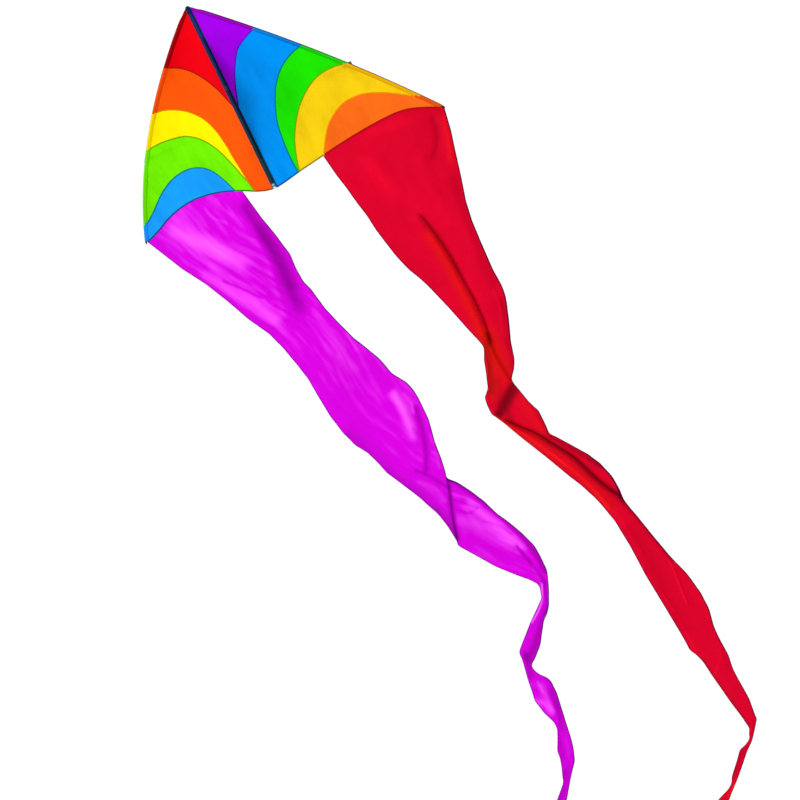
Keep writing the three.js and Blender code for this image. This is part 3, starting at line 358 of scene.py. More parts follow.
CRIMSON_FOLDS_AND_PAINTED_LIGHT = [
    ([(0.4874, -0.6079), (0.485, -0.649), (0.4713, -0.6876), (0.4468, -0.7146)], -0.007, 0.01, -0.174, 0.009),
    ([(0.517, -0.626), (0.5092, -0.6803), (0.4919, -0.7428)], 0.005, 0.01, 0.102, 0.01),
    ([(0.3166, -0.5705), (0.3872, -0.5802), (0.4379, -0.5927)], 0.004, 0.016, 0.086, 0.016),
    ([(0.2414, -0.5982), (0.2668, -0.6378), (0.2874, -0.6882)], 0.003, 0.02, 0.000, 0.002),
    ([(0.3203, -0.6583), (0.3236, -0.7329), (0.3166, -0.8161)], -0.003, 0.022, -0.058, 0.022),
    ([(0.1957, -0.6549), (0.2149, -0.7325), (0.2287, -0.8347), (0.2504, -0.9528)], 0.004, 0.02, 0.000, 0.002),
    ([(0.4055, -0.7074), (0.4007, -0.8032), (0.4028, -0.9148)], 0.004, 0.02, 0.044, 0.018),
    ([(0.4825, -0.809), (0.4751, -0.9016), (0.4716, -1.0152), (0.4702, -1.126)], -0.008, 0.018, -0.106, 0.022),
    ([(0.3408, -0.8342), (0.3439, -0.8555), (0.3506, -0.898)], 0.0025, 0.006, 0.052, 0.006),
    ([(0.3386, -0.8563), (0.3576, -0.9405), (0.369, -1.0174), (0.3742, -1.0921), (0.3781, -1.1539), (0.3748, -1.2368), (0.3637, -1.3002)], -0.008, 0.006, -0.114, 0.0042),
    ([(0.3378, -0.9252), (0.3489, -1.0023), (0.3545, -1.0905), (0.3558, -1.1714), (0.3509, -1.2573)], 0.007, 0.012, 0.102, 0.011),
    ([(0.2309, -0.9104), (0.2537, -0.9878), (0.2864, -1.0752)], -0.004, 0.014, -0.074, 0.018),
    ([(0.4288, -1.0491), (0.4286, -1.1484), (0.4157, -1.2439)], 0.004, 0.016, -0.043, 0.018),
    ([(0.4483, -1.15), (0.4461, -1.1961), (0.4186, -1.2723)], 0.003, 0.006, 0.052, 0.006),
    ([(0.4572, -1.1873), (0.4438, -1.2558), (0.4188, -1.3268)], -0.004, 0.008, -0.089, 0.008),
    ([(0.3707, -1.2656), (0.3652, -1.3384), (0.3679, -1.3807), (0.3721, -1.4203)], -0.01, 0.006, -0.192, 0.0055),
    ([(0.351, -1.2982), (0.3254, -1.3698), (0.2996, -1.4348)], -0.004, 0.008, -0.358, 0.011),
    ([(0.4103, -1.3028), (0.4019, -1.3539), (0.3849, -1.3879)], 0.004, 0.008, -0.122, 0.009),
    ([(0.3283, -1.3366), (0.3206, -1.3609), (0.3106, -1.3842)], 0.003, 0.003, 0.394, 0.0022),
    ([(0.2768, -1.4391), (0.2681, -1.4701), (0.2737, -1.5002)], 0.008, 0.008, 0.236, 0.005),
    ([(0.3282, -1.4053), (0.3195, -1.4431), (0.2966, -1.4751)], 0.004, 0.01, -0.174, 0.01),
    ([(0.3706, -1.4438), (0.3322, -1.4726), (0.2908, -1.5073)], -0.013, 0.015, -1.127, 0.013),
    ([(0.3678, -1.4633), (0.3193, -1.5053), (0.3165, -1.5387)], 0, 0.001, -0.358, 0.01),
    ([(0.3762, -1.5014), (0.3848, -1.5532), (0.3907, -1.6038)], 0.006, 0.014, 0.052, 0.012),
    ([(0.406, -1.5517), (0.4076, -1.5971), (0.405, -1.6235)], -0.004, 0.008, -0.122, 0.008),
    ([(0.3008, -1.5357), (0.3336, -1.5735), (0.3636, -1.6031), (0.3968, -1.6545), (0.4403, -1.72), (0.4823, -1.8182), (0.5286, -1.8937)], -0.013, 0.009, -0.514, 0.007),
    ([(0.2936, -1.5431), (0.3308, -1.593), (0.3713, -1.6647), (0.4211, -1.7531), (0.4591, -1.8462), (0.4708, -1.9013)], 0.01, 0.009, 0.208, 0.008),
    ([(0.3742, -1.6727), (0.3916, -1.6935), (0.4065, -1.7336)], 0.003, 0.004, 0.164, 0.004),
    ([(0.4065, -1.6344), (0.444, -1.6839), (0.4816, -1.7333), (0.5037, -1.7727)], -0.006, 0.009, -0.431, 0.009),
    ([(0.4749, -1.7475), (0.5041, -1.7864), (0.5166, -1.8319)], 0.005, 0.008, 0.000, 0.008),
    ([(0.5215, -1.8943), (0.547, -1.9713), (0.5732, -2.0616), (0.5893, -2.1148)], -0.009, 0.01, -0.575, 0.005),
    ([(0.4699, -1.874), (0.4927, -1.9569), (0.5053, -2.0623)], 0.005, 0.012, 0.086, 0.01),
    ([(0.511, -1.9908), (0.5263, -2.0905), (0.5244, -2.1976), (0.5308, -2.33)], -0.005, 0.02, -0.122, 0.02),
    ([(0.5753, -2.1161), (0.5789, -2.1376), (0.5753, -2.1969), (0.5717, -2.2634)], 0.005, 0.005, 0.250, 0.003),
    ([(0.5134, -2.207), (0.52, -2.2367), (0.5267, -2.2734)], 0.004, 0.005, 0.222, 0.003),
    ([(0.5275, -2.308), (0.5316, -2.3719), (0.5349, -2.408)], 0.003, 0.006, 0.102, 0.005),
    ([(0.6147, -2.1917), (0.6225, -2.2625), (0.6158, -2.3352), (0.6145, -2.4249)], 0.004, 0.01, 0.035, 0.009),
    ([(0.6188, -2.3433), (0.6147, -2.4389), (0.6067, -2.4991)], -0.003, 0.008, -0.036, 0.008),
    ([(0.5382, -2.4443), (0.5472, -2.5256), (0.5617, -2.6096), (0.5746, -2.6898)], -0.01, 0.012, -0.406, 0.008),
    ([(0.609, -2.4367), (0.5726, -2.4858), (0.5386, -2.5151)], 0.003, 0.007, 0.086, 0.006),
    ([(0.6125, -2.5296), (0.61, -2.6069), (0.6045, -2.6691)], 0.003, 0.008, 0.000, 0.002),
    ([(0.5931, -2.6862), (0.5676, -2.7265), (0.5306, -2.7625)], 0.004, 0.006, 0.052, 0.005),
    ([(0.5363, -2.7575), (0.5106, -2.7836), (0.4736, -2.8269)], -0.003, 0.005, -0.122, 0.006),
    ([(0.4792, -2.8076), (0.4592, -2.8359), (0.4478, -2.8531)], -0.003, 0.004, -0.250, 0.004),
    ([(0.4536, -2.8552), (0.4394, -2.8714), (0.4179, -2.8884)], 0.004, 0.003, 0.554, 0.003),
    ([(0.4135, -2.8832), (0.3861, -2.898), (0.3501, -2.9169)], 0.004, 0.005, 0.000, 0.002),
    # From here on the strokes have no height: they are painted shade where negative and painted highlight where
    # positive.
    ([(0.272, -0.6671), (0.3056, -0.7574), (0.3487, -0.8313)], 0, 0.001, 0.102, 0.036),
    ([(0.3799, -1.0945), (0.3869, -1.1778), (0.382, -1.2568)], 0, 0.001, 0.086, 0.014),
    ([(0.4583, -1.7681), (0.4915, -1.8421), (0.5194, -1.9136)], 0, 0.001, -0.043, 0.014),
]
MAGENTA_TWIST = [(0.0522, -1.627), (0.0432, -1.655), (0.0297, -1.6884), (0.0041, -1.7594), (-0.014, -1.8231)]

WORLD, KEY, FILL, BACK = 0.68, 350.0, 150.0, 150.0
MAGENTA_LEVEL, CRIMSON_LEVEL = 0.87, 0.84

# ------------------------------------------------------------------ camera
CAM_AZ, CAM_EL, CAM_ROLL = math.radians(20.1), math.radians(8.4), math.radians(25.88)
CAM_AT = Vector((3.10486, -8.31118, -0.02365))
_back = Vector((math.sin(CAM_AZ) * math.cos(CAM_EL), -math.cos(CAM_AZ) * math.cos(CAM_EL), math.sin(CAM_EL)))
_right = Vector((math.cos(CAM_AZ), math.sin(CAM_AZ), 0))
_up = _back.cross(_right)
_cr = math.cos(CAM_ROLL) * _right - math.sin(CAM_ROLL) * _up
_cu = math.sin(CAM_ROLL) * _right + math.cos(CAM_ROLL) * _up
cam = bpy.data.objects.new("camera", bpy.data.cameras.new("camera"))
bpy.context.scene.collection.objects.link(cam)
cam.data.lens, cam.data.sensor_width = 133.875, 36
cam.data.clip_start, cam.data.clip_end = 0.1, 200
_m = Matrix((_cr, _cu, _back)).transposed().to_4x4()
_m.translation = CAM_AT
cam.matrix_world = _m
bpy.context.scene.camera = cam
VIEWER = np.array(CAM_AT)

# ------------------------------------------------------------------ small helpers
def lin(rgb):
    out = []
    for c in rgb:
        c = c / 255
        out.append(c / 12.92 if c <= 0.04045 else ((c + 0.055) / 1.055) ** 2.4)
    return tuple(out)


def scaled(c, k):
    return tuple(min(1.0, x * k) for x in c)


def blended(a, b, w):
    return tuple(x * (1 - w) + y * w for x, y in zip(a, b))


def smoothstep(x):
    x = np.clip(x, 0, 1)
    return x * x * (3 - 2 * x)


def catmull(points, count):
    """Uniform Catmull-Rom through the points, count pieces."""
    p = np.array(points, float)
    ext = np.vstack([2 * p[0] - p[1], p, 2 * p[-1] - p[-2]])
    t = np.linspace(0, len(p) - 1, count + 1)
    k = np.minimum(t.astype(int), len(p) - 2)
    f = (t - k)[:, None]
    a, b, c, d = ext[k], ext[k + 1], ext[k + 2], ext[k + 3]
    return 0.5 * (2 * b + (c - a) * f + (2 * a - 5 * b + 4 * c - d) * f ** 2 + (3 * b - a - 3 * c + d) * f ** 3)


def resample(points, step):
    p = np.array(points, float)
    d = np.r_[0, np.cumsum(np.linalg.norm(np.diff(p, axis=0), axis=1))]
    n = max(1, int(round(d[-1] / step)))
    s = np.linspace(0, d[-1], n + 1)
    return np.stack([np.interp(s, d, p[:, i]) for i in range(p.shape[1])], -1)


def noises(pts, scale, seed):
    off = Vector((seed * 7.13, seed * 3.71, seed * 1.93))
    return np.array([noise.noise(Vector((float(a) * scale, float(b) * scale, 0.0)) + off) for a, b in pts])


def mesh_object(name, verts, faces, mats, uv=None, index=None, smooth=True, colour_with_painted_light=None):
    me = bpy.data.meshes.new(name)
    me.from_pydata([tuple(map(float, v)) for v in verts], [], [tuple(int(i) for i in f) for f in faces])
    for m in mats:
        me.materials.append(m)
    if index is not None:
        me.polygons.foreach_set("material_index", np.array(index, np.int32))
    me.polygons.foreach_set("use_smooth", np.full(len(me.polygons), smooth))
    if uv is not None:
        layer = me.uv_layers.new(name="cloth")
        loops = np.zeros(len(me.loops), np.int32)
        me.loops.foreach_get("vertex_index", loops)
        layer.data.foreach_set("uv", np.asarray(uv, np.float32)[loops].ravel())
    # per-vertex colour, painted shade and painted highlight included
    if colour_with_painted_light is not None:
        a = me.attributes.new("cloth_colour_with_painted_light", "FLOAT_COLOR", "POINT")
        rgba = np.ones((len(verts), 4), np.float32)
        rgba[:, :3] = colour_with_painted_light
        a.data.foreach_set("color", rgba.ravel())
    me.update()
    o = bpy.data.objects.new(name, me)
    bpy.context.scene.collection.objects.link(o)
    return o


def sweep(name, frames, section, mats, along=None, faces_of=None, caps=True, across=None):
    """A closed section [(a, b), ...] or one per frame, swept through frames (origin, e1, e2)."""
    n = len(frames)
    verts, uv = [], []
    length = 0.0
    for i, (o, e1, e2) in enumerate(frames):
        sec = section(i) if callable(section) else section
        if i:
            length += float(np.linalg.norm(np.array(o) - np.array(frames[i - 1][0])))
        for j, (a, b) in enumerate(sec):
            verts.append(np.array(o) + a * np.array(e1) + b * np.array(e2))
            uv.append((length, across[j] if across else j / (len(sec) - 1)))
    m = len(sec)
    faces, idx = [], []
    for i in range(n - 1):
        for j in range(m):
            k = (j + 1) % m
            faces.append((i * m + j, i * m + k, (i + 1) * m + k, (i + 1) * m + j))
            idx.append(faces_of(i, j) if faces_of else 0)
    if caps:
        faces += [tuple(range(m))[::-1], tuple(range((n - 1) * m, n * m))]
        idx += [idx[0], idx[-1]]
    return mesh_object(name, verts, faces, mats, uv, idx)


def lathe(name, profile, origin, axis, mats, segments=40, wobble=None, index=None):
    """A profile [(radius, height), ...] turned about an axis through origin; open or closed."""
    z = Vector(axis).normalized()
    x = z.orthogonal().normalized()
    y = z.cross(x)
    verts, uv, faces, idx = [], [], [], []
    m = len(profile)
    run = np.r_[0, np.cumsum([math.dist(profile[i], profile[i + 1]) for i in range(m - 1)])]
    for i in range(segments):
        t = 2 * math.pi * i / segments
        d = x * math.cos(t) + y * math.sin(t)
        for j, (r, h) in enumerate(profile):
            k = 1 + (wobble(t, h) if wobble else 0)
            verts.append(Vector(origin) + d * (r * k) + z * h)
            uv.append((t / (2 * math.pi) * 0.05, run[j]))
    for i in range(segments):
        a, b = i * m, (i + 1) % segments * m
        for j in range(m - 1):
            faces.append((a + j, b + j, b + j + 1, a + j + 1))
            idx.append(index(j) if index else 0)
    return mesh_object(name, verts, faces, mats, uv, idx)


# ------------------------------------------------------------------ materials
def _node(nt, kind, **values):
    n = nt.nodes.new(kind)
    for k, v in values.items():
        if isinstance(v, (int, float, tuple)) and k in n.inputs:
            n.inputs[k].default_value = v
        else:
            setattr(n, k, v)
    return n


def _ramp(nt, stops):
    n = nt.nodes.new("ShaderNodeValToRGB")
    e = n.color_ramp.elements
    while len(e) < len(stops):
        e.new(0.5)
    for el, (p, c) in zip(e, stops):
        el.position = p
        el.color = (*c, 1)
    return n


def cloth_material(name, rgb, spread=0.10, through=0.30, painted_light_attribute=False, stitched=None, grain=5.0, rough=0.58, sheen=0.012, bump=0.20, fade=None, stretch=(1.0, 1.0, 1.0)):
    """Ripstop cloth: woven squares, soft colour drift, faint wear, light that comes through."""
    m = bpy.data.materials.new(name)
    m.use_nodes = True
    nt = m.node_tree
    nt.nodes.clear()
    L = nt.links.new
    out = nt.nodes.new("ShaderNodeOutputMaterial")
    mix = nt.nodes.new("ShaderNodeMixShader")
    mix.inputs[0].default_value = through
    b = nt.nodes.new("ShaderNodeBsdfPrincipled")
    b.inputs["Specular IOR Level"].default_value = 0.03
    b.inputs["Sheen Weight"].default_value = sheen
    b.inputs["Sheen Roughness"].default_value = 0.4
    t = nt.nodes.new("ShaderNodeBsdfTranslucent")
    L(b.outputs[0], mix.inputs[1])
    L(t.outputs[0], mix.inputs[2])
    L(mix.outputs[0], out.inputs[0])
    tc = nt.nodes.new("ShaderNodeTexCoord")
    drift = _node(nt, "ShaderNodeTexNoise", Scale=grain, Detail=4.0, Roughness=0.6)
    mp = _node(nt, "ShaderNodeMapping")
    mp.inputs["Scale"].default_value = stretch
    L(tc.outputs["Object"], mp.inputs["Vector"])
    L(mp.outputs[0], drift.inputs["Vector"])
    base = (1.0, 1.0, 1.0) if painted_light_attribute else rgb
    dark, light = scaled(base, 1 - spread), scaled(base, 1 + spread * 0.6)
    ramp = _ramp(nt, [(0.30, dark), (0.52, base), (0.72, light)])
    L(drift.outputs["Fac"], ramp.inputs[0])
    # woven squares, 5 mm apart, and the threads between them
    wu = _node(nt, "ShaderNodeTexWave", wave_type="BANDS", bands_direction="X", Scale=62.8, Distortion=0.0)
    wv = _node(nt, "ShaderNodeTexWave", wave_type="BANDS", bands_direction="Y", Scale=62.8, Distortion=0.0)
    L(tc.outputs["UV"], wu.inputs["Vector"])
    L(tc.outputs["UV"], wv.inputs["Vector"])
    grid = _node(nt, "ShaderNodeMath", operation="MAXIMUM")
    L(wu.outputs["Fac"], grid.inputs[0])
    L(wv.outputs["Fac"], grid.inputs[1])
    sharp = _node(nt, "ShaderNodeMath", operation="POWER")
    L(grid.outputs[0], sharp.inputs[0])
    sharp.inputs[1].default_value = 9.0
    fine = _node(nt, "ShaderNodeTexNoise", Scale=700.0, Detail=2.0)
    L(tc.outputs["Object"], fine.inputs["Vector"])
    height = _node(nt, "ShaderNodeMath", operation="MULTIPLY_ADD")
    L(fine.outputs["Fac"], height.inputs[0])
    height.inputs[1].default_value = 0.35
    L(sharp.outputs[0], height.inputs[2])
    bp = _node(nt, "ShaderNodeBump", Strength=bump, Distance=0.0002)
    L(height.outputs[0], bp.inputs["Height"])
    # ripstop threads are a touch deeper in colour
    thread = _node(nt, "ShaderNodeMix", data_type="RGBA", blend_type="MULTIPLY")
    worn = _ramp(nt, [(0.0, (1, 1, 1)), (1.0, (0.93, 0.93, 0.93))])
    L(sharp.outputs[0], worn.inputs[0])
    thread.inputs[0].default_value = 1.0
    ground = ramp.outputs[0]
    if fade is not None:
        # the cloth's colour changes along the spine
        sz = nt.nodes.new("ShaderNodeSeparateXYZ")
        L(tc.outputs["Object"], sz.inputs[0])
        mr = _node(nt, "ShaderNodeMapRange")
        mr.inputs["From Min"].default_value, mr.inputs["From Max"].default_value = fade[1], fade[2]
        L(sz.outputs["Z"], mr.inputs["Value"])
        fm = _node(nt, "ShaderNodeMix", data_type="RGBA", blend_type="MIX")
        L(mr.outputs[0], fm.inputs[0])
        L(ground, fm.inputs[6])
        fm.inputs[7].default_value = (*fade[0], 1)
        ground = fm.outputs[2]
    L(ground, thread.inputs[6])
    L(worn.outputs[0], thread.inputs[7])
    colour = thread.outputs[2]
    # the mesh's colour attribute, which carries painted shade and painted highlight, multiplies the cloth colour
    if painted_light_attribute:
        at = _node(nt, "ShaderNodeAttribute", attribute_name="cloth_colour_with_painted_light")
        mul = _node(nt, "ShaderNodeMix", data_type="RGBA", blend_type="MULTIPLY")
        mul.inputs[0].default_value = 1.0
        L(colour, mul.inputs[6])
        L(at.outputs["Color"], mul.inputs[7])
        colour = mul.outputs[2]
    if stitched is not None:
        # two rows of thread along the strip: U runs along it in metres, V across it from 0 to 1
        sep = nt.nodes.new("ShaderNodeSeparateXYZ")
        L(tc.outputs["UV"], sep.inputs[0])
        rows = None
        for place in (0.36, 0.64):
            c = _node(nt, "ShaderNodeMath", operation="COMPARE")
            L(sep.outputs["Y"], c.inputs[0])
            c.inputs[1].default_value, c.inputs[2].default_value = place, 0.030
            if rows is None:
                rows = c
            else:
                s = _node(nt, "ShaderNodeMath", operation="ADD")
                L(rows.outputs[0], s.inputs[0])
                L(c.outputs[0], s.inputs[1])
                rows = s
        beat = _node(nt, "ShaderNodeMath", operation="PINGPONG")
        L(sep.outputs["X"], beat.inputs[0])
        beat.inputs[1].default_value = 0.0016
        dash = _node(nt, "ShaderNodeMath", operation="GREATER_THAN")
        L(beat.outputs[0], dash.inputs[0])
        dash.inputs[1].default_value = 0.00045
        sew = _node(nt, "ShaderNodeMath", operation="MULTIPLY")
        L(rows.outputs[0], sew.inputs[0])
        L(dash.outputs[0], sew.inputs[1])
        tm = _node(nt, "ShaderNodeMix", data_type="RGBA", blend_type="MIX")
        L(sew.outputs[0], tm.inputs[0])
        L(colour, tm.inputs[6])
        tm.inputs[7].default_value = (*stitched, 1)
        colour = tm.outputs[2]
    L(colour, b.inputs["Base Color"])
    L(colour, t.inputs["Color"])
    wear = _node(nt, "ShaderNodeTexNoise", Scale=23.0, Detail=2.0)
    L(tc.outputs["Object"], wear.inputs["Vector"])
    rr = _node(nt, "ShaderNodeMapRange")
    rr.inputs["To Min"].default_value, rr.inputs["To Max"].default_value = rough - 0.07, rough + 0.10
    L(wear.outputs["Fac"], rr.inputs["Value"])
    L(rr.outputs[0], b.inputs["Roughness"])
    L(bp.outputs[0], b.inputs["Normal"])
    L(bp.outputs[0], t.inputs["Normal"])
    return m


def hard_material(name, rgb, rough, metallic=0.0, streak=(1.0, 1.0, 1.0), scale=90.0, spread=0.25, bump=0.15):
    """Moulded, drawn or rolled parts: speckle, scuffs and uneven gloss."""
    m = bpy.data.materials.new(name)
    m.use_nodes = True
    nt = m.node_tree
    L = nt.links.new
    b = next(n for n in nt.nodes if n.type == "BSDF_PRINCIPLED")
    b.inputs["Metallic"].default_value = metallic
    b.inputs["Specular IOR Level"].default_value = 0.35
    tc = nt.nodes.new("ShaderNodeTexCoord")
    mp = _node(nt, "ShaderNodeMapping")
    mp.inputs["Scale"].default_value = streak
    L(tc.outputs["Object"], mp.inputs["Vector"])
    nz = _node(nt, "ShaderNodeTexNoise", Scale=scale, Detail=4.0)
    L(mp.outputs[0], nz.inputs["Vector"])
    ramp = _ramp(nt, [(0.3, scaled(rgb, 1 - spread)), (0.55, rgb), (0.8, scaled(rgb, 1 + spread))])
    L(nz.outputs["Fac"], ramp.inputs[0])
    L(ramp.outputs[0], b.inputs["Base Color"])
    rr = _node(nt, "ShaderNodeMapRange")
    rr.inputs["To Min"].default_value, rr.inputs["To Max"].default_value = rough * 0.75, min(1.0, rough * 1.35)
    L(nz.outputs["Fac"], rr.inputs["Value"])
    L(rr.outputs[0], b.inputs["Roughness"])
    bp = _node(nt, "ShaderNodeBump", Strength=bump, Distance=0.0001)
    L(nz.outputs["Fac"], bp.inputs["Height"])
    L(bp.outputs[0], b.inputs["Normal"])
    return m


PAINT = {
    "left_red": lin((230, 0, 16)), "left_orange": lin((255, 86, 8)), "left_yellow": lin((255, 235, 0)),
    "left_green": lin((112, 236, 0)), "left_blue": lin((22, 158, 255)),
    "right_violet": lin((165, 0, 235)), "right_blue": lin((0, 150, 250)), "right_green": lin((28, 230, 0)),
    "right_yellow": lin((246, 206, 16)), "right_orange": lin((255, 110, 24)),
}
LEFT_ORDER = ["red", "orange", "yellow", "green", "blue"]
RIGHT_ORDER = ["violet", "blue", "green", "yellow", "orange"]
NAVY = lin((25, 56, 112))
NAVY_DARK = lin((18, 34, 78))
THREAD = lin((44, 66, 118))
TEAL_DARK = lin((20, 58, 66))
navy = cloth_material("navy_ripstop", NAVY, through=0.12, fade=(TEAL_DARK, -0.22, -0.50))
navy_strip = cloth_material("navy_binding", NAVY_DARK, through=0.05, stitched=THREAD, fade=(scaled(TEAL_DARK, 0.75), -0.22, -0.50))
rod_mat = hard_material("fibreglass", lin((34, 34, 38)), 0.32, streak=(1, 1, 0.04), scale=600.0)
vinyl_mat = hard_material("vinyl", lin((24, 24, 27)), 0.48, scale=240.0)
cap_mat = hard_material("tip_vinyl", lin((44, 4, 14)), 0.5, scale=240.0)
brass_mat = hard_material("antique_brass", lin((128, 108, 66)), 0.34, metallic=1.0, scale=300.0, spread=0.12)
teal_mat = cloth_material("teal_webbing", lin((57, 136, 148)), through=0.0, stitched=lin((236, 240, 240)), spread=0.16, bump=0.4)

# ------------------------------------------------------------------ sail surface
NOSE_TOP = -6.0   # the cloth itself runs on up to the nose pocket


def edge_point(t):
    bow = 4 * t * (1 - t)
    return WING_S * t + LE_BOW_OUT * bow * OUT_S, -LE_DROP * t + LE_BOW_OUT * bow * OUT_Z, -LE_BOW_FRONT * bow


def edge_at(z):
    a = -4 * LE_BOW_OUT * OUT_Z
    b = -LE_DROP + 4 * LE_BOW_OUT * OUT_Z
    return (-b - np.sqrt(np.maximum(b * b + 4 * a * z, 0))) / (2 * a)


def sail_offset(s, z):
    s, z = np.asarray(s, float), np.asarray(z, float)
    t = np.clip(edge_at(z), -0.05, 1.15)
    es, _, en = edge_point(t)
    u = s / np.maximum(es, 0.1)
    v = np.clip(-z / LE_DROP, 0, 1)
    belly = np.where((u > 0) & (u < 1), BILLOW * 4 * u * (1 - u) * np.sin(np.pi * 0.85 * v ** 0.8), 0)
    return en * u + belly


def kite_point(side, s, n, z):
    s, n, z = np.asarray(s, float), np.asarray(n, float), np.asarray(z, float)
    return np.stack([side * (s * math.cos(PSI) - n * math.sin(PSI)), s * math.sin(PSI) + n * math.cos(PSI), z], -1) * MM


def on_sail(side, s, z, lift=0.0):
    """Point of the sail, raised by lift millimetres towards the belly side."""
    s, z = np.asarray(s, float), np.asarray(z, float)
    n = sail_offset(s, z)
    d = 1.0
    ns = (sail_offset(s + d, z) - sail_offset(s - d, z)) / (2 * d)
    nz = (sail_offset(s, z + d) - sail_offset(s, z - d)) / (2 * d)
    k = np.sqrt(1 + ns ** 2 + nz ** 2)
    return kite_point(side, s + lift * ns / k, n - lift / k, z + lift * nz / k)


def inside(poly, pts):
    x, y = pts[:, 0], pts[:, 1]
    hit = np.zeros(len(pts), bool)
    j = len(poly) - 1
    for i in range(len(poly)):
        xi, yi, xj, yj = *poly[i], *poly[j]
        c = ((yi > y) != (yj > y)) & (x < (xj - xi) * (y - yi) / ((yj - yi) or 1e-9) + xi)
        hit ^= c
        j = i
    return hit


def wing_outline(side):
    trailing = catmull(LEFT_TRAILING if side < 0 else RIGHT_TRAILING, 160)
    edge = []
    for i in range(121):
        t = -0.03 + 1.1 * i / 120
        a, b = edge_point(t), edge_point(t + 0.001)
        l = math.hypot(b[0] - a[0], b[1] - a[1])
        edge.append((a[0] + (b[1] - a[1]) / l * LE_INSET, a[1] - (b[0] - a[0]) / l * LE_INSET))
    return np.array(edge), trailing


def in_wing(side, pts):
    edge, trailing = wing_outline(side)
    below = np.vstack([edge, [-80, -800], [-80, 100]])
    above = np.vstack([trailing, [700, 200], [-100, 200]])
    return inside(below, pts) & inside(above, pts) & (pts[:, 0] > PANEL_ROOT) & (pts[:, 1] < NOSE_TOP)


def seam_line(seam):
    return catmull(seam, 60)


def panel_of(seams, pts):
    """Panel number of each point: inside seam k's nose side and outside those before it."""
    number = np.full(len(pts), len(seams))
    for k in range(len(seams) - 1, -1, -1):
        line = seam_line(seams[k])
        poly = np.vstack([line, [-90, line[-1][1]], [-90, 90], [800, 90]])
        number[inside(poly, pts)] = k
    return number


def ruffle(side, s, z):
    """Soft unevenness of the cloth, in millimetres."""
    pts = np.stack([s, z], -1)
    seed = 3 if side < 0 else 11
    soft = 1.9 * noises(pts, 1 / 95, seed) + 0.85 * noises(pts, 1 / 34, seed + 1)
    # creases that run from the leading edge down towards the seams
    turned = np.stack([s * 0.55 + z * 0.83, (s * 0.83 - z * 0.55) * 0.28], -1)
    soft += 0.95 * noises(turned, 1 / 22, seed + 2)
    if side < 0:
        # shallow ridge over the orange panel
        ridge = np.array([(-1, 0)])
        line = RIDGE
        d = np.full(len(s), 1e9)
        for a, b in zip(line[:-1], line[1:]):
            a, b = np.array(a), np.array(b)
            t = np.clip(((pts - a) @ (b - a)) / ((b - a) @ (b - a)), 0, 1)
            d = np.minimum(d, np.linalg.norm(pts - (a + t[:, None] * (b - a)), axis=1))
        soft += 2.0 * np.exp(-(d / 9.0) ** 2)
    return soft


def build_wing(side, label, seams, order):
    edge, trailing = wing_outline(side)
    coords, edges = [], []

    def chain(pts, step):
        pts = resample(pts, step)
        first = len(coords)
        coords.extend((float(a), float(b)) for a, b in pts)
        edges.extend((first + i, first + i + 1) for i in range(len(pts) - 1))

    step = 7.0
    chain(edge, step)
    chain(trailing, step)
    for seam in seams:
        chain(seam_line(seam), step)
    chain([(PANEL_ROOT, 20), (PANEL_ROOT, -640)], step)
    chain([(-20, NOSE_TOP), (60, NOSE_TOP)], step)
    grid = []
    rows = int(660 / (step * 0.866))
    for j in range(rows):
        z = -8 - j * step * 0.866
        for i in range(int(620 / step)):
            grid.append((3 + (i + 0.5 * (j % 2)) * step, z))
    grid = np.array(grid)
    lines = np.vstack([np.array(coords)])
    keep = in_wing(side, grid)
    grid = grid[keep]
    # no loose point close to a line
    far = np.array([np.min(np.hypot(lines[:, 0] - x, lines[:, 1] - z)) > step * 0.55 for x, z in grid])
    coords.extend(map(tuple, grid[far]))
    v, _, f, *_ = delaunay_2d_cdt([Vector(c) for c in coords], edges, [], 0, 1e-4)
    v = np.array([tuple(p) for p in v])
    f = np.array([t for t in f if len(t) == 3])
    mid = v[f].mean(1)
    ok = in_wing(side, mid)
    f, mid = f[ok], mid[ok]
    number = panel_of(seams, mid)
    lift = ruffle(side, v[:, 0], v[:, 1])
    xyz = on_sail(side, v[:, 0], v[:, 1], lift)
    panels = []
    for k, colour in enumerate(order):
        tri = f[number == k]
        used = np.unique(tri)
        new = np.full(len(v), -1)
        new[used] = np.arange(len(used))
        key = f"{label}_{colour}"
        mat = cloth_material(f"ripstop_{key}", PAINT[key], spread=0.17, grain=13.0, stretch=(1.0, 1.0, 0.38))
        faces = new[tri]
        if side > 0:
            faces = faces[:, ::-1]
        uv = v[used] * MM
        o = mesh_object(f"{label}_{colour}_panel", xyz[used], faces, [mat], uv)
        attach(o, f"{label}_wing")
        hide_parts(f"{label}_panel_{colour}")
        p = v[tri]
        area = 0.5 * np.abs(np.cross(p[:, 1] - p[:, 0], p[:, 2] - p[:, 0])).sum() * 1e-6
        # flat size: the smallest box over the cut, turned to fit it
        best = None
        for deg in range(0, 90, 3):
            c, s = math.cos(math.radians(deg)), math.sin(math.radians(deg))
            q = v[used] @ np.array([[c, -s], [s, c]])
            w, l = np.ptp(q[:, 0]) * MM, np.ptp(q[:, 1]) * MM
            if best is None or w * l < best[0] * best[1]:
                best = (w, l)
        panels.append((o, best, area))
    return panels


SEWN = {}


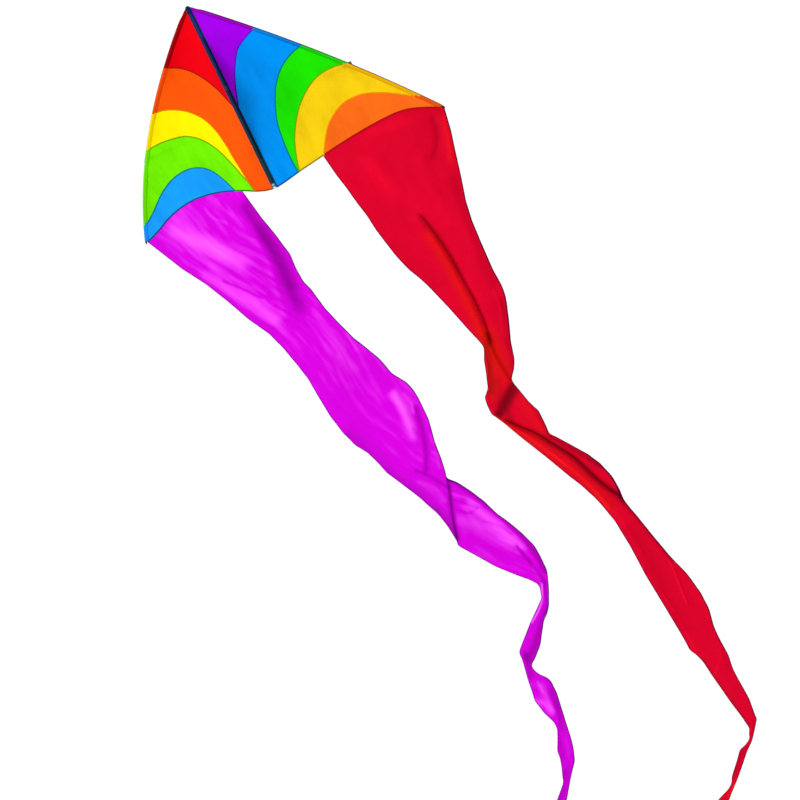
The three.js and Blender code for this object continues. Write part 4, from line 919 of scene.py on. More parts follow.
def strip_on_sail(name, side, line, width, mats, low=-0.5, high=0.8, choose=None, body=None):
    """A flat sewn strip that follows a line of the sail."""
    line = resample(line, 4.0)
    d = np.gradient(line, axis=0)
    d /= np.linalg.norm(d, axis=1)[:, None]
    across = np.stack([-d[:, 1], d[:, 0]], -1)
    lift = ruffle(side, line[:, 0], line[:, 1])
    o = on_sail(side, line[:, 0], line[:, 1], lift)
    w = on_sail(side, line[:, 0] + across[:, 0], line[:, 1] + across[:, 1], lift)
    up = on_sail(side, line[:, 0], line[:, 1], lift + 1)
    frames = []
    for i in range(len(line)):
        e1 = w[i] - o[i]
        e1 /= np.linalg.norm(e1)
        e2 = up[i] - o[i]
        e2 -= e1 * (e2 @ e1)
        e2 /= np.linalg.norm(e2)
        frames.append((o[i], e1, e2))
    h = width / 2
    sec = [(-h, low), (-h, high * 0.55), (-h * 0.62, high), (h * 0.62, high), (h, high * 0.55), (h, low)]
    sec = [(a * MM, b * MM) for a, b in sec]
    faces_of = (lambda i, j: int(choose[min(i, len(choose) - 1)])) if choose is not None else None
    return sweep(name, frames, sec, mats, faces_of=faces_of, across=[0, 0.1, 0.2, 0.8, 0.9, 1.0])


def clipped(side, line, margin=0.0):
    fine = resample(line, 0.5)
    ok = in_wing(side, fine)
    run = np.flatnonzero(ok)
    return fine[run[0]:run[-1] + 1]


def seam_materials(label, order):
    mats = {}
    for k in range(4):
        a, b = PAINT[f"{label}_{order[k]}"], PAINT[f"{label}_{order[k + 1]}"]
        mats[k] = (a, b)
    return mats


def edge_frames(side, t0, t1, count):
    frames, ts = [], np.linspace(t0, t1, count)
    for t in ts:
        s, z, n = edge_point(t)
        s2, z2, n2 = edge_point(t + 0.001)
        l = math.hypot(s2 - s, z2 - z)
        inward = ((z2 - z) / l, -(s2 - s) / l)
        p = kite_point(side, s, n, z)
        q = kite_point(side, s2, n2, z2)
        tangent = (q - p) / np.linalg.norm(q - p)
        si, zi = s + inward[0] * 14, z + inward[1] * 14
        e1 = kite_point(side, si, sail_offset(si, zi), zi) - p
        e1 -= tangent * (e1 @ tangent)
        e1 /= np.linalg.norm(e1)
        e2 = np.cross(e1, tangent)
        if e2[1] > 0:
            e2 = -e2
        frames.append((p, e1, e2))
    return frames, ts


def build_sleeve(side, label, seams, order):
    """The rod sleeve, one sewn fold of cloth round the rod with a slit at the back for the connector."""
    mats, slots = [], []
    for colour, tone in zip(order, SLEEVE_TONES[label]):
        mats.append(cloth_material(f"sleeve_{label}_{colour}", tone, through=0.10, stitched=scaled(tone, 0.86)))
    # the outer rounding takes these darker tones: rod showing through the cloth, with painted shade of the rounding
    for colour, tone in zip(order, SLEEVE_EDGE_ROD_AND_SHADE_TONES[label]):
        mats.append(cloth_material(f"sleeve_edge_{label}_{colour}", tone, through=0.04))
    # above the rod's end the fold is empty and flat, and runs up to the nose pocket
    frames, ts = edge_frames(side, 0.015, 0.984, 200)
    rings = []
    for inset in (9.5, 5.5, 2.5):
        beside = []
        for t in ts:
            a, b = edge_point(t), edge_point(t + 0.001)
            l = math.hypot(b[0] - a[0], b[1] - a[1])
            beside.append((a[0] + (b[1] - a[1]) / l * inset, a[1] - (b[0] - a[0]) / l * inset))
        rings.append(np.maximum.accumulate(panel_of(seams, np.array(beside))))
    window = 8.2 / 833
    angles = [math.radians(a) for a in range(40, 321, 20)]

    def section(i):
        t = ts[i]
        near = float(np.exp(-(((t - CONNECTOR_T) / (window * 1.25)) ** 4)))
        full = float(smoothstep((t - 0.035) / 0.025))
        r = SLEEVE_R * (0.42 + 0.58 * full) + 0.75 * near
        taper = min(1.0, (ts[-1] - t) / 0.03 + 0.55)
        reach = 9.5 * taper * (0.74 + 0.26 * float(smoothstep((t - 0.01) / 0.05)))
        # at the nose it stays on its own side of the spine, and thin, so that the two folds clear each other
        room = t * 833
        reach = min(reach, 0.55 * room - 3.0)
        r = min(r, 0.35 + 0.075 * room)
        rise = min(0.55, 0.05 + 0.025 * room)
        pts = [(reach, rise), (reach * 0.62, rise + r * 0.30)]
        for a in angles:
            # the slit at the back: that half of the fold lies open against the ring
            pts.append((r * math.cos(a), r * math.sin(a)))
        pts += [(reach * 0.62, -rise - r * 0.30), (reach, -rise)]
        return [(a * MM, b * MM) for a, b in pts]

    m = len(angles) + 4
    # V across: 0 at the belly-side seam row, 1 at the back one
    def faces_of(i, j):
        if j in range(7, m - 7):
            return rings[2][i] + 5
        return rings[1 if 3 <= j < m - 4 else 0][i]

    o = sweep(f"{label}_leading_edge_sleeve", frames, section, mats, faces_of=faces_of, across=[0.28, 0.42] + [0.5] * len(angles) + [0.58, 0.72])
    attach(o, f"{label}_wing")
    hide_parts(f"{label}_sleeve_front", f"{label}_sleeve_rear")
    return o


MAGENTA, CRIMSON = scaled(lin((232, 0, 240)), MAGENTA_LEVEL), scaled(lin((236, 0, 46)), CRIMSON_LEVEL)
SLEEVE_TONES = {
    "left": [lin((168, 0, 8)), lin((248, 84, 8)), lin((252, 226, 0)), lin((112, 232, 2)), lin((18, 156, 248))],
    "right": [lin((166, 0, 190)), lin((2, 136, 234)), lin((28, 216, 4)), lin((243, 186, 10)), lin((240, 96, 14))],
}
# darker tones of the sleeve's outer rounding: partly the rod seen through the cloth, partly painted shade of the
# rounding
SLEEVE_EDGE_ROD_AND_SHADE_TONES = {
    "left": [lin((112, 0, 18)), lin((140, 60, 16)), lin((176, 140, 20)), lin((86, 136, 20)), lin((20, 96, 120))],
    "right": [lin((74, 0, 110)), lin((10, 62, 120)), lin((20, 92, 30)), lin((128, 84, 12)), lin((130, 44, 12))],
}
RIDGE = [(66, -332), (92, -296), (140, -262), (196, -230)]

HEM_TONES = {
    "left": [lin((110, 0, 10)), lin((150, 60, 10)), lin((150, 140, 10)), lin((40, 130, 40)), lin((20, 70, 120))],
    "right": [lin((90, 0, 130)), lin((6, 84, 150)), lin((20, 130, 20)), lin((150, 130, 30)), lin((168, 16, 8))],
}
SEAM_TONES = {
    "left": [lin((150, 10, 0)), lin((214, 120, 0)), lin((90, 150, 0)), lin((6, 104, 110))],
    "right": [lin((64, 0, 188)), lin((0, 120, 110)), lin((96, 160, 0)), lin((240, 148, 4))],
}

# ------------------------------------------------------------------ wings
for side, label, seams, order in ((-1, "left", LEFT_SEAMS, LEFT_ORDER), (1, "right", RIGHT_SEAMS, RIGHT_ORDER)):
    panels = build_wing(side, label, seams, order)
    body = f"{label}_wing"
    extra = {o.name: [] for o, _, _ in panels}
    # seams between the panels
    for k, seam in enumerate(seams):
        a, b = PAINT[f"{label}_{order[k]}"], PAINT[f"{label}_{order[k + 1]}"]
        tone = SEAM_TONES[label][k]
        mat = cloth_material(f"seam_{label}_{order[k]}_{order[k + 1]}", tone, through=0.04, stitched=scaled(blended(a, b, 0.5), 0.9))
        line = clipped(side, seam_line(seam))
        o = strip_on_sail(f"{label}_seam_{order[k]}_{order[k + 1]}", side, line, 3.8, [mat])
        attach(o, body)
        extra[panels[k][0].name].append(o)
    # hem of the trailing edge, panel by panel
    mats = [cloth_material(f"hem_{label}_{c}", h, through=0.04, stitched=scaled(h, 1.5)) for c, h in zip(order, HEM_TONES[label])]
    trailing = catmull(LEFT_TRAILING if side < 0 else RIGHT_TRAILING, 160)
    d = np.gradient(trailing, axis=0)
    d /= np.linalg.norm(d, axis=1)[:, None]
    raised = trailing + np.stack([-d[:, 1], d[:, 0]], -1) * 2.3
    line = clipped(side, raised)
    line = resample(line, 4.0)
    number = panel_of(seams, line + np.array([0, 1.5]))
    o = strip_on_sail(f"{label}_trailing_hem", side, line, 4.6, mats, low=-0.8, high=0.7, choose=number)
    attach(o, body)
    extra[panels[4][0].name].append(o)
    sleeve = build_sleeve(side, label, seams, order)
    extra[panels[0][0].name].append(sleeve)
    # binding that joins the wing to the spine sleeve
    zs = np.linspace(-5, -593 if side < 0 else -595, 150)
    frames = []
    for z in zs:
        p = on_sail(side, 9.0, z)
        q = on_sail(side, 3.3, z)
        e1 = (p - q) / np.linalg.norm(p - q)
        e2 = np.cross(e1, (0, 0, 1))
        if e2[1] > 0:
            e2 = -e2
        frames.append((q, e1, e2))
    sec = [(0, -1.0), (0, 1.2), (2.4, 1.35), (5.0, 1.05), (5.9, 0.7), (6.0, -0.7), (5.0, -0.95), (2.4, -1.1)]
    o = sweep(f"{label}_spine_binding", frames, [(a * MM, b * MM) for a, b in sec], [navy_strip], across=[0.1, 0.1, 0.3, 0.36, 0.9, 1.0, 0.64, 0.3])
    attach(o, body)
    extra[panels[0][0].name].append(o)
    for o, flat, area in panels:
        flat = tuple(round(x, 3) for x in flat)
        round(max(area, 0.3001 * flat[0] * flat[1]), 5)
        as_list(extra[o.name])
    # end cap over the rod at the tip
    s, z, n = edge_point(0.976)
    s2, z2, n2 = edge_point(0.978)
    p, q = kite_point(side, s, n, z), kite_point(side, s2, n2, z2)
    s3, z3, n3 = edge_point(0.989)
    s4, z4, n4 = edge_point(0.985)
    axis = kite_point(side, s3, n3, z3) - kite_point(side, s4, n4, z4)
    prof = [(2.35, 17), (2.35, 0.3), (2.6, -0.1), (3.3, 0.1), (3.55, 0.7), (3.4, 1.6), (3.4, 4), (3.52, 4.4), (3.52, 5.2), (3.38, 5.6), (3.3, 11), (3.05, 15), (2.4, 18.6), (1.5, 20.4), (0.7, 21), (0.0, 21.05)]
    o = lathe(f"{label}_rod_tip_cap", [(r * MM, h * MM) for r, h in prof], p, axis, [cap_mat], 32)
    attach(o, body)
    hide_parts(f"{label}_tip_cap")

# ------------------------------------------------------------------ spine
ripple = lambda t, h: 0.02 * noise.noise(Vector((math.cos(t) * 1.3, math.sin(t) * 1.3, h * 60)))
prof = [(2.6, -579.0), (3.7, -579.0), (4.0, -578.0)] + [(4.0, -577 + i * 4.0) for i in range(140)] + [(4.0, -11.2), (3.6, -11.0), (2.6, -11.0)]
o = lathe("spine_cloth_tube", [(r * MM, h * MM) for r, h in prof], (0, 0, 0), (0, 0, 1), [navy], 28, ripple)
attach(o, "spine"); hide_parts("spine_sleeve")
prof = [(4.5, -10.5), (4.5, -21.6), (5.2, -22.0), (6.6, -22.0), (7.0, -21.4), (7.0, -18.6), (6.7, -18.0), (7.0, -17.4), (7.05, -10), (7.0, -7), (6.6, -4.8), (5.9, -3.2), (4.8, -1.8), (3.4, -0.8), (1.8, -0.2), (0, 0)]
puff = lambda t, h: 0.03 * noise.noise(Vector((math.cos(t), math.sin(t), h * 110)))
o = lathe("nose_pocket_cloth", [(r * MM, h * MM) for r, h in prof], (0, 0, 0), (0, 0, 1), [navy_strip], 36, puff)
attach(o, "spine"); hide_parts("nose_pocket")
prof = [(2.5, -579.6), (4.6, -579.6), (5.0, -580.2), (5.0, -583.5), (4.8, -584.2), (5.0, -584.9), (5.0, -590.4), (4.8, -591.1), (5.0, -591.8), (4.9, -593.8), (4.0, -594.7), (2.0, -595), (0, -595)]
o = lathe("spine_end_webbing", [(r * MM, h * MM) for r, h in prof], (0, 0, 0), (0, 0, 1), [teal_mat, cloth_material("white_thread", lin((232, 238, 238)), through=0.0, bump=0.5)], 32, index=lambda j: 1 if j in (3, 4, 7, 8) else 0)
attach(o, "spine"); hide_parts("spine_end_cap")

# ------------------------------------------------------------------ keel
KR = np.array([math.sin(KEEL_TURN), -math.cos(KEEL_TURN), 0])
KN = np.array([math.cos(KEEL_TURN), math.sin(KEEL_TURN), 0])


def keel_point(r, z, b=0.0):
    r, z, b = np.broadcast_arrays(np.asarray(r, float), np.asarray(z, float), np.asarray(b, float))
    return (r[..., None] * KR + b[..., None] * KN + z[..., None] * np.array([0, 0, 1])) * MM


KEEL = [(16.15, -104), (60, -146), (110, -197), (160, -246), (168, -256), (167, -268), (158, -280), (110, -338), (60, -414), (16.15, -496)]
PATCH = [(118, -222), (158, -251), (166, -258), (165, -267), (156, -276), (118, -312)]
EYE = (147.0, -262.0)


def keel_sheet(name, outline, hole, lift, mats, step, thick):
    coords, edges = [], []
    ring = resample(np.vstack([outline, outline[:1]]), step)[:-1]
    first = len(coords)
    coords += [tuple(p) for p in ring]
    edges += [(first + i, first + (i + 1) % len(ring)) for i in range(len(ring))]
    hole_pts = [(EYE[0] + hole * math.cos(a), EYE[1] + hole * math.sin(a)) for a in np.linspace(0, 2 * math.pi, 28, endpoint=False)]
    first = len(coords)
    coords += hole_pts
    edges += [(first + i, first + (i + 1) % 28) for i in range(28)]
    xs = np.arange(10, 175, step)
    grid = np.array([(x + (j % 2) * step / 2, z) for j, z in enumerate(np.arange(-500, -95, step * 0.866)) for x in xs])
    poly = np.array(outline, float)
    grid = grid[inside(poly, grid)]
    lines = np.array(coords)
    far = np.array([np.min(np.hypot(lines[:, 0] - x, lines[:, 1] - z)) > step * 0.5 for x, z in grid])
    hyp = np.hypot(grid[:, 0] - EYE[0], grid[:, 1] - EYE[1]) > hole + 1
    coords += [tuple(p) for p in grid[far & hyp]]
    v, _, f, *_ = delaunay_2d_cdt([Vector(c) for c in coords], edges, [], 0, 1e-4)
    v = np.array([tuple(p) for p in v])
    f = np.array([t for t in f if len(t) == 3])
    mid = v[f].mean(1)
    ok = inside(poly, mid) & (np.hypot(mid[:, 0] - EYE[0], mid[:, 1] - EYE[1]) > hole * 0.985)
    f = f[ok]
    used = np.unique(f)
    new = np.full(len(v), -1)
    new[used] = np.arange(len(used))
    v, f = v[used], new[f]
    o = mesh_object(name, keel_point(v[:, 0], v[:, 1], lift(v)), f, mats, v * MM)
    mod = o.modifiers.new("cloth thickness", "SOLIDIFY")
    mod.thickness, mod.offset = thick * MM, 0.0
    p = v[f]
    return o, 0.5 * np.abs(np.cross(p[:, 1] - p[:, 0], p[:, 2] - p[:, 0])).sum() * 1e-6


def keel_wave(v):
    """Slight unevenness that dies out at the sewn strip and at the eyelet."""
    fade = smoothstep((v[:, 0] - 16) / 40) * smoothstep((np.hypot(v[:, 0] - EYE[0], v[:, 1] - EYE[1]) - 20) / 40)
    return 0.55 * fade * noises(v, 1 / 48, 21)


panel, area = keel_sheet("keel_cloth", KEEL, 5.6, keel_wave, [navy], 6.0, 0.6)
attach(panel, "keel"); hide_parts("keel_panel")
for label, b in (("left", -1.1), ("right", 1.1)):
    o, _ = keel_sheet(f"keel_corner_patch_{label}", PATCH, 5.6, lambda v, b=b: np.full(len(v), b), [navy_strip], 5.0, 0.6)
    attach(o, "keel"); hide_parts(f"keel_patch_{label}")
# hems along the two free edges of the keel
for label, line in (("upper", KEEL[:5]), ("lower", KEEL[4:])):
    line = resample(line, 4.0)
    d = np.gradient(line, axis=0)
    d /= np.linalg.norm(d, axis=1)[:, None]
    across = np.stack([d[:, 1], -d[:, 0]], -1)
    w = keel_wave(line)
    frames = [(keel_point(p[0] + a[0] * 2.0, p[1] + a[1] * 2.0, w[i]), (KR * a[0] + np.array([0, 0, a[1]])), KN) for i, (p, a) in enumerate(zip(line, across))]
    sec = [(-2.2, -0.5), (-2.5, 0), (-2.2, 0.5), (-1.2, 0.75), (1.4, 0.75), (2.2, 0.45), (2.2, -0.45), (1.4, -0.75), (-1.2, -0.75)]
    o = sweep(f"keel_hem_{label}", frames, [(a * MM, b * MM) for a, b in sec], [navy_strip], across=[0.05, 0, 0.05, 0.2, 0.7, 0.95, 0.95, 0.7, 0.2])
    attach(o, "keel")
prof = [(4.5, -1.6), (4.62, -2.1), (5.0, -2.45), (5.6, -2.5), (6.6, -2.35), (7.5, -2.05), (8.0, -1.75), (7.9, -1.6), (6.2, -1.7), (5.4, -1.6), (5.4, 1.6), (6.2, 1.7), (7.9, 1.6), (8.0, 1.75), (7.5, 2.05), (6.6, 2.35), (5.6, 2.5), (5.0, 2.45), (4.62, 2.1), (4.5, 1.6), (4.5, -1.6)]
o = lathe("brass_tow_eyelet", [(r * MM, h * MM) for r, h in prof], keel_point(*EYE), KN, [brass_mat], 48)
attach(o, "keel"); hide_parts("tow_eyelet")
zs = np.linspace(-102.5, -497.5, 110)
frames = [(keel_point(4.6, z), KR, KN) for z in zs]
sec = [(0, -0.75), (0, 0.75), (2.2, 0.6), (9.6, 0.55), (11.2, 0.35), (11.2, -0.35), (9.6, -0.55), (2.2, -0.6)]
strip = sweep("keel_root_binding", frames, [(a * MM, b * MM) for a, b in sec], [navy_strip], across=[0, 0, 0.2, 0.8, 1, 1, 0.8, 0.2])
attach(strip, "keel_root"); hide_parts("keel_seam_strip")

# ------------------------------------------------------------------ rods and connectors
for name in ("spine_rod", "left_leading_edge_rod", "right_leading_edge_rod"):
    nodes[name].data.materials.clear()
    nodes[name].data.materials.append(rod_mat)
for name in ("left_spreader_connector", "right_spreader_connector"):
    nodes[name].data.materials.clear()
    nodes[name].data.materials.append(vinyl_mat)
    mod = nodes[name].modifiers.new("edges", "BEVEL")
    mod.width, mod.segments, mod.limit_method, mod.angle_limit = 0.00035, 2, "ANGLE", math.radians(40)
lo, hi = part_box("spreader_rod")
half, cy, cz = hi.x, (lo.y + hi.y) / 2, (lo.z + hi.z) / 2
prof = [(0, -half), (1.7 * MM, -half), (2.0 * MM, -half + 0.4 * MM)] + [(2.0 * MM, x) for x in np.linspace(-half + 0.01, half - 0.01, 60)] + [(2.0 * MM, half - 0.4 * MM), (1.7 * MM, half), (0, half)]
o = lathe("spreader_fibreglass_rod", prof, (0, cy, cz), (1, 0, 0), [rod_mat], 28)
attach(o, "spreader"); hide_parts("spreader_rod")


# ------------------------------------------------------------------ tails
def fold_distance(pts, line):
    line = catmull(line, 8 * (len(line) - 1)) if len(line) > 2 else np.array(line, float)
    d = np.full(len(pts), 1e9)
    for a, b in zip(line[:-1], line[1:]):
        e = b - a
        t = np.clip(((pts - a) @ e) / max(e @ e, 1e-12), 0, 1)
        d = np.minimum(d, np.hypot(*(pts - (a + t[:, None] * e)).T))
    return d


def crossings(rows, line):
    """Where a fold crosses each row, as a share of its width; NaN where it doesn't."""
    line = catmull(line, 40 * (len(line) - 1))
    out = np.full(len(rows), np.nan)
    for i, r in enumerate(rows):
        a, b = r[[0, 2]], r[[3, 5]]
        e = b - a
        n = np.array([-e[1], e[0]])
        side = (line - a) @ n
        for k in np.flatnonzero(side[:-1] * side[1:] <= 0):
            w = side[k] / ((side[k] - side[k + 1]) or 1e-12)
            q = line[k] + w * (line[k + 1] - line[k])
            f = (q - a) @ e / (e @ e)
            if -0.02 <= f <= 1.02:
                out[i] = min(max(f, 0), 1)
                break
    return out


def build_tail(name, side, table, folds, pleats, s0, s1, trailing, colour, hem, label, bulge, columns, step, seed, painted_highlight_colour, painted_warm_light, streak):
    # even rows along the tail
    mid = (table[:, :3] + table[:, 3:]) / 2
    run = np.r_[0, np.cumsum(np.maximum(np.linalg.norm(np.diff(table[:, :3], axis=0), axis=1), np.linalg.norm(np.diff(table[:, 3:], axis=0), axis=1)))]
    count = int(run[-1] / step)
    at = np.linspace(0, run[-1], count + 1)
    k = np.clip(np.searchsorted(run, at, side="right") - 1, 0, len(table) - 2)
    f = ((at - run[k]) / (run[k + 1] - run[k]))[:, None]
    ext = np.vstack([2 * table[0] - table[1], table, 2 * table[-1] - table[-2]])
    a, b, c, d = ext[k], ext[k + 1], ext[k + 2], ext[k + 3]
    rows = 0.5 * (2 * b + (c - a) * f + (2 * a - 5 * b + 4 * c - d) * f ** 2 + (3 * b - a - 3 * c + d) * f ** 3)
    width = np.linalg.norm(rows[:, 3:] - rows[:, :3], axis=1)
    # columns: a narrow hem at each side, even between
    base = np.linspace(0, 1, columns + 1)
    n = len(rows)
    share = np.zeros((n, columns + 5))
    hemw = np.minimum(HEM_W / width, 0.14)
    share[:, 0] = 0
    share[:, 1] = hemw * 0.3
    share[:, 2:-2] = hemw[:, None] + (1 - 2 * hemw[:, None]) * base[None, :]
    share[:, -2] = 1 - hemw * 0.3
    share[:, -1] = 1
    depth = np.zeros_like(share)
    back = np.zeros_like(share)
    for line, lap, deep in pleats:
        x = crossings(rows, line)
        good = np.flatnonzero(~np.isnan(x))
        if not len(good):
            continue
        x = np.interp(np.arange(n), good, x[good])
        kern = np.hanning(9); kern /= kern.sum()
        x = np.convolve(np.pad(x, 4, mode="edge"), kern, mode="valid")
        inside_run = np.zeros(n)
        inside_run[good[0]:good[-1] + 1] = 1
        reach = max(1, int(0.022 / step))
        soft = np.minimum(smoothstep((np.arange(n) - good[0] + 1) / reach), smoothstep((good[-1] + 1 - np.arange(n)) / reach))
        lapw = np.minimum(lap / width, 0.45) * soft
        turn = 0.10 * soft
        for i in np.flatnonzero(soft > 0):
            o, e = lapw[i], turn[i]
            if e < 1e-3:
                continue
            e1 = x[i]
            start = max(0.0, e1 - o)
            a0, a1 = e1 * (1 - e), e1 * (1 - e) + e
            q = share[i].copy()
            g = np.where(q <= a0, q * (e1 / max(a0, 1e-6)), np.where(q < a1, e1 + (start - e1) * (q - a0) / (a1 - a0), start + (q - a1) * (1 - start) / max(1 - a1, 1e-6)))
            w = width[i]
            dp = deep * soft[i]
            front = dp * np.exp(-((e1 - g) * w / 0.030) ** 2)
            rear = -dp * np.exp(-((g - start) * w / 0.030) ** 2)
            m = np.clip((q - a0) / (a1 - a0), 0, 1)
            depth[i] += np.where(q <= a0, front, np.where(q < a1, dp * (1 - 2 * smoothstep(m)), rear))
            # back marks a painted shadow: the rear layer just past the front layer's edge is darkened in the colour
            # below
            back[i] = np.maximum(back[i], np.where(q >= a1, np.exp(-((g - e1) * w / 0.010) ** 2) * (g > e1 - 0.004), 0) * soft[i])
            share[i] = g
    L, R = rows[:, None, :3], rows[:, None, 3:]
    P = L + (R - L) * share[:, :, None]
    # the top of the cloth, sewn behind the hem of the trailing edge
    edge = catmull(trailing, 200)
    u = share[0]
    s = s0 + (s1 - s0) * u
    z = np.interp(s, edge[:, 0], edge[:, 1]) + 3.2
    top = on_sail(side, s, z, ruffle(side, s, z) - 1.2)
    z2 = z - 4.4
    top2 = on_sail(side, s, z2, ruffle(side, s, z2) - 1.3)
    gap = float(np.linalg.norm(P[0] - top2, axis=1).mean())
    m = max(3, int(gap / step))
    head = [top] + [top2 + (P[0] - top2) * (j / m) for j in range(0, m)]
    P = np.vstack([np.array(head), P])
    extra = m + 1
    share = np.vstack([np.repeat(share[:1], extra, 0), share])
    depth = np.vstack([np.zeros((extra, share.shape[1])), depth])
    back = np.vstack([np.zeros((extra, share.shape[1])), back])
    width = np.r_[np.full(extra, width[0]), width]
    N, M = share.shape
    flat = P.reshape(-1, 3)
    xz = flat[:, [0, 2]]
    lift = np.zeros(len(flat))
    tone = np.zeros(len(flat))
    # each stroke lifts the cloth by its height; its brightness is painted light, negative painting shade and positive
    # painting highlight into the colour
    for line, h, w, sh, sw in folds:
        line = np.array(line, float)
        d = fold_distance(xz, line)
        if h:
            lift += h * np.exp(-(d / w) ** 2)
        if sh:
            tone += sh * np.exp(-(d / sw) ** 2)
    uu = share.reshape(-1)
    wide = np.repeat(width, M)
    lift += bulge * wide * (1 - (2 * np.clip(uu, 0, 1) - 1) ** 2)
    lift += 0.0011 * noises(xz, 1 / 0.055, seed) + 0.0005 * noises(xz, 1 / 0.02, seed + 1)
    lift += depth.reshape(-1)
    fall = np.repeat(np.r_[0, 0, smoothstep(np.arange(N - 2) * step / 0.075)], M)
    lift *= fall
    toward = VIEWER - flat
    toward /= np.linalg.norm(toward, axis=1)[:, None]
    # rolled hems stand a little proud
    roll = np.zeros((N, M))
    roll[:, [1, -2]] = 0.0006
    roll[:, [0, -1]] = -0.0002
    roll[-2:] += 0.0004
    lift += roll.reshape(-1)
    verts = flat + toward * lift[:, None]
    faces, idx = [], []
    for i in range(N - 1):
        for j in range(M - 1):
            faces.append((i * M + j, (i + 1) * M + j, (i + 1) * M + j + 1, i * M + j + 1))
            idx.append(1 if j < 2 or i >= N - 3 else 2 if j >= M - 3 else 0)
    along = np.r_[0, np.cumsum(np.linalg.norm(np.diff(P.mean(1), axis=0), axis=1))]
    uv = np.stack([share * width[:, None], np.repeat(along[:, None], M, 1)], -1).reshape(-1, 2)
    # fine creases that run down the cloth
    cloth_at = np.stack([(share * width[:, None]).reshape(-1), np.repeat(np.r_[0, np.cumsum(np.linalg.norm(np.diff(P.mean(1), axis=0), axis=1))] * 0.16, M)], -1)
    crease = 0.65 * noises(cloth_at, 1 / 0.017, seed + 3) + 0.35 * noises(cloth_at, 1 / 0.008, seed + 4)
    crease *= np.exp(-np.clip(-0.9 - flat[:, 2], 0, 9) * 1.4) * 0.7 + 0.3
    lift += 0.0012 * crease * fall
    # painted light in the colour: stroke shade and highlight (tone), painted shade and highlight along the fine creases
    # (streak times crease), a random drift, and the painted shadow behind each pleat edge (back)
    level = np.exp(tone + streak * crease + 0.022 * noises(xz, 1 / 0.03, seed + 2)) * (1 - 0.25 * back.reshape(-1))
    # above full brightness the painted highlight colour is added
    colour_with_painted_light = np.minimum(level, 1.3)[:, None] * np.array(colour) + np.array(painted_highlight_colour) * np.maximum(level - 1, 0)[:, None]
    # painted warm light: along the listed folds the crimson is shifted towards orange-red
    for line, w, k in painted_warm_light:
        g = k * np.exp(-(fold_distance(xz, np.array(line, float)) / w) ** 2)
        colour_with_painted_light[:, 2] *= 1 - 0.75 * g
        colour_with_painted_light[:, 1] += 0.004 * g
    colour_with_painted_light = np.clip(colour_with_painted_light, 0, 1)
    cloth = cloth_material(f"ripstop_{name}", (1, 1, 1), painted_light_attribute=True, spread=0.08, through=0.28, grain=4.0)
    hems = [cloth_material(f"hem_{name}_{i}", h, through=0.04, spread=0.16) for i, h in enumerate(hem)]
    o = mesh_object(name, verts, faces, [cloth, *hems], uv, idx, colour_with_painted_light=colour_with_painted_light)
    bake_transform(o)
    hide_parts(f"{label}_tail", f"{label}_tail_root")
    V = verts.reshape(N, M, 3)
    e1, e2 = V[1:, :-1] - V[:-1, :-1], V[:-1, 1:] - V[:-1, :-1]
    print(name, "verts", len(verts), "area", round(float(np.linalg.norm(np.cross(e1, e2), axis=2).sum()), 4), "length", round(float(along[-1]), 3))
    return o


# folds of the crimson tail that get painted warm light: line, half width, strength
CRIMSON_PAINTED_WARM_LIGHT = [
    (CRIMSON_FOLDS_AND_PAINTED_LIGHT[10][0], 0.020, 0.85), (CRIMSON_FOLDS_AND_PAINTED_LIGHT[15][0], 0.030, 0.9), (CRIMSON_FOLDS_AND_PAINTED_LIGHT[16][0], 0.030, 0.9),
    (CRIMSON_FOLDS_AND_PAINTED_LIGHT[26][0], 0.026, 0.7), (CRIMSON_FOLDS_AND_PAINTED_LIGHT[23][0], 0.030, 0.5), (CRIMSON_FOLDS_AND_PAINTED_LIGHT[1][0], 0.016, 0.5),
    (CRIMSON_FOLDS_AND_PAINTED_LIGHT[44][0], 0.02, 0.5),
]
HEM_W = 0.0034
COLS, STEP = ((96, 0.0052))
MAGENTA_PLEATS = [(MAGENTA_TWIST, 0.020, 0.006)]
CRIMSON_PLEATS = [(CRIMSON_FOLDS_AND_PAINTED_LIGHT[9][0], 0.016, 0.005), (CRIMSON_FOLDS_AND_PAINTED_LIGHT[25][0], 0.020, 0.006)]
left_tail = build_tail("left_streamer_tail", -1, MAGENTA_ROWS, MAGENTA_FOLDS_AND_PAINTED_LIGHT, MAGENTA_PLEATS, 552, 124, LEFT_TRAILING, MAGENTA, [lin((150, 0, 168)), lin((98, 0, 128))], "left", 0.05, COLS, STEP, 31, (0.16, 0.20, 0.10), [], 0.16)
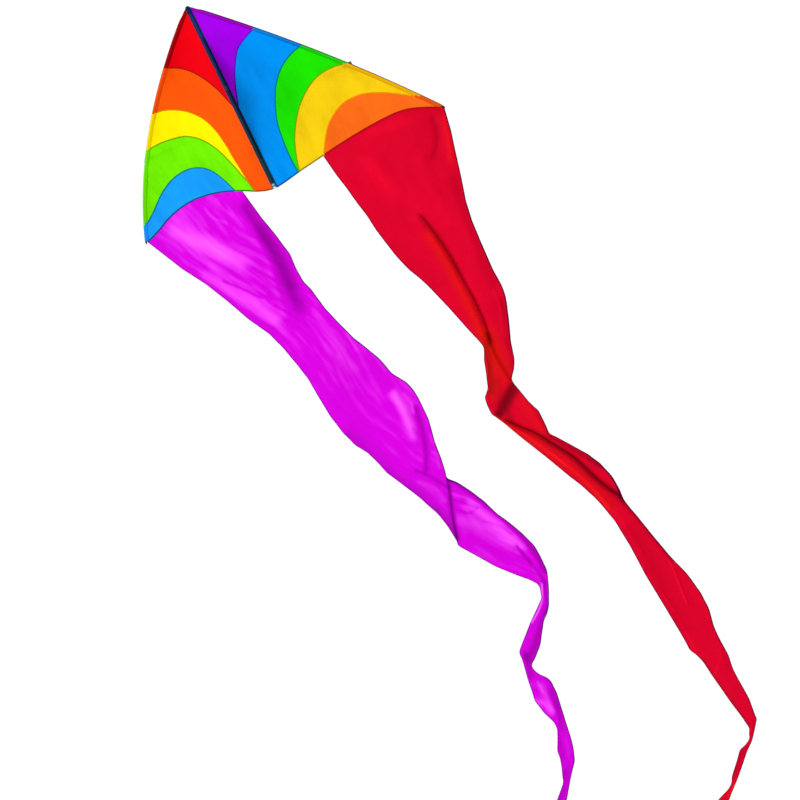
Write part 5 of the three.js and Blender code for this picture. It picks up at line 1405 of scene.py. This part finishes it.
right_tail = build_tail("right_streamer_tail", 1, CRIMSON_ROWS, CRIMSON_FOLDS_AND_PAINTED_LIGHT, CRIMSON_PLEATS, 171, 558, RIGHT_TRAILING, CRIMSON, [lin((140, 0, 50)), lin((96, 0, 48))], "right", 0.045, COLS, STEP, 47, (0.10, 0.006, 0.0), CRIMSON_PAINTED_WARM_LIGHT, 0.045)

# ------------------------------------------------------------------ stage and light
scene = bpy.context.scene
scene.view_settings.view_transform = "Standard"
world = bpy.data.worlds.new("studio")
scene.world = world
world.use_nodes = True
bg = next(n for n in world.node_tree.nodes if n.type == "BACKGROUND")
bg.inputs["Color"].default_value = (1, 1, 1, 1)
bg.inputs["Strength"].default_value = WORLD

bpy.ops.mesh.primitive_uv_sphere_add(segments=48, ring_count=24, radius=60, location=(0, 0, -1.4))
drop = bpy.context.object
drop.name = "backdrop"
m = bpy.data.materials.new("backdrop_paper")
m.use_nodes = True
nt = m.node_tree
nt.nodes.clear()
em = nt.nodes.new("ShaderNodeEmission")
em.inputs[0].default_value = (1, 1, 1, 1)
em.inputs[1].default_value = 1.05
nt.links.new(em.outputs[0], nt.nodes.new("ShaderNodeOutputMaterial").inputs[0])
drop.data.materials.append(m)
for flag in ("visible_diffuse", "visible_glossy", "visible_transmission", "visible_volume_scatter", "visible_shadow"):
    setattr(drop, flag, False)
bpy.ops.mesh.primitive_circle_add(vertices=96, radius=2.6, fill_type="NGON", location=(0, 0, -4.6))
floor = bpy.context.object
floor.name = "floor"
fm = hard_material("pale_floor", (0.86, 0.86, 0.86), 0.85, scale=3.0, spread=0.02, bump=0.02)
floor.data.materials.append(fm)


def area_light(name, where, target, size, power):
    l = bpy.data.lights.new(name, "AREA")
    l.shape, l.size, l.energy = "DISK", size, power
    o = bpy.data.objects.new(name, l)
    scene.collection.objects.link(o)
    o.location = where
    o.rotation_mode = "QUATERNION"
    o.rotation_quaternion = (Vector(target) - Vector(where)).to_track_quat("-Z", "Y")


area_light("key", (0.4, -8.2, 2.6), (0, 0, -1.1), 3.0, KEY)
area_light("fill", (-6.5, -5.0, 0.6), (0.1, 0, -1.2), 4.0, FILL)
area_light("back", (-1.5, 6.0, 2.5), (0, 0, -1.0), 4.0, BACK)
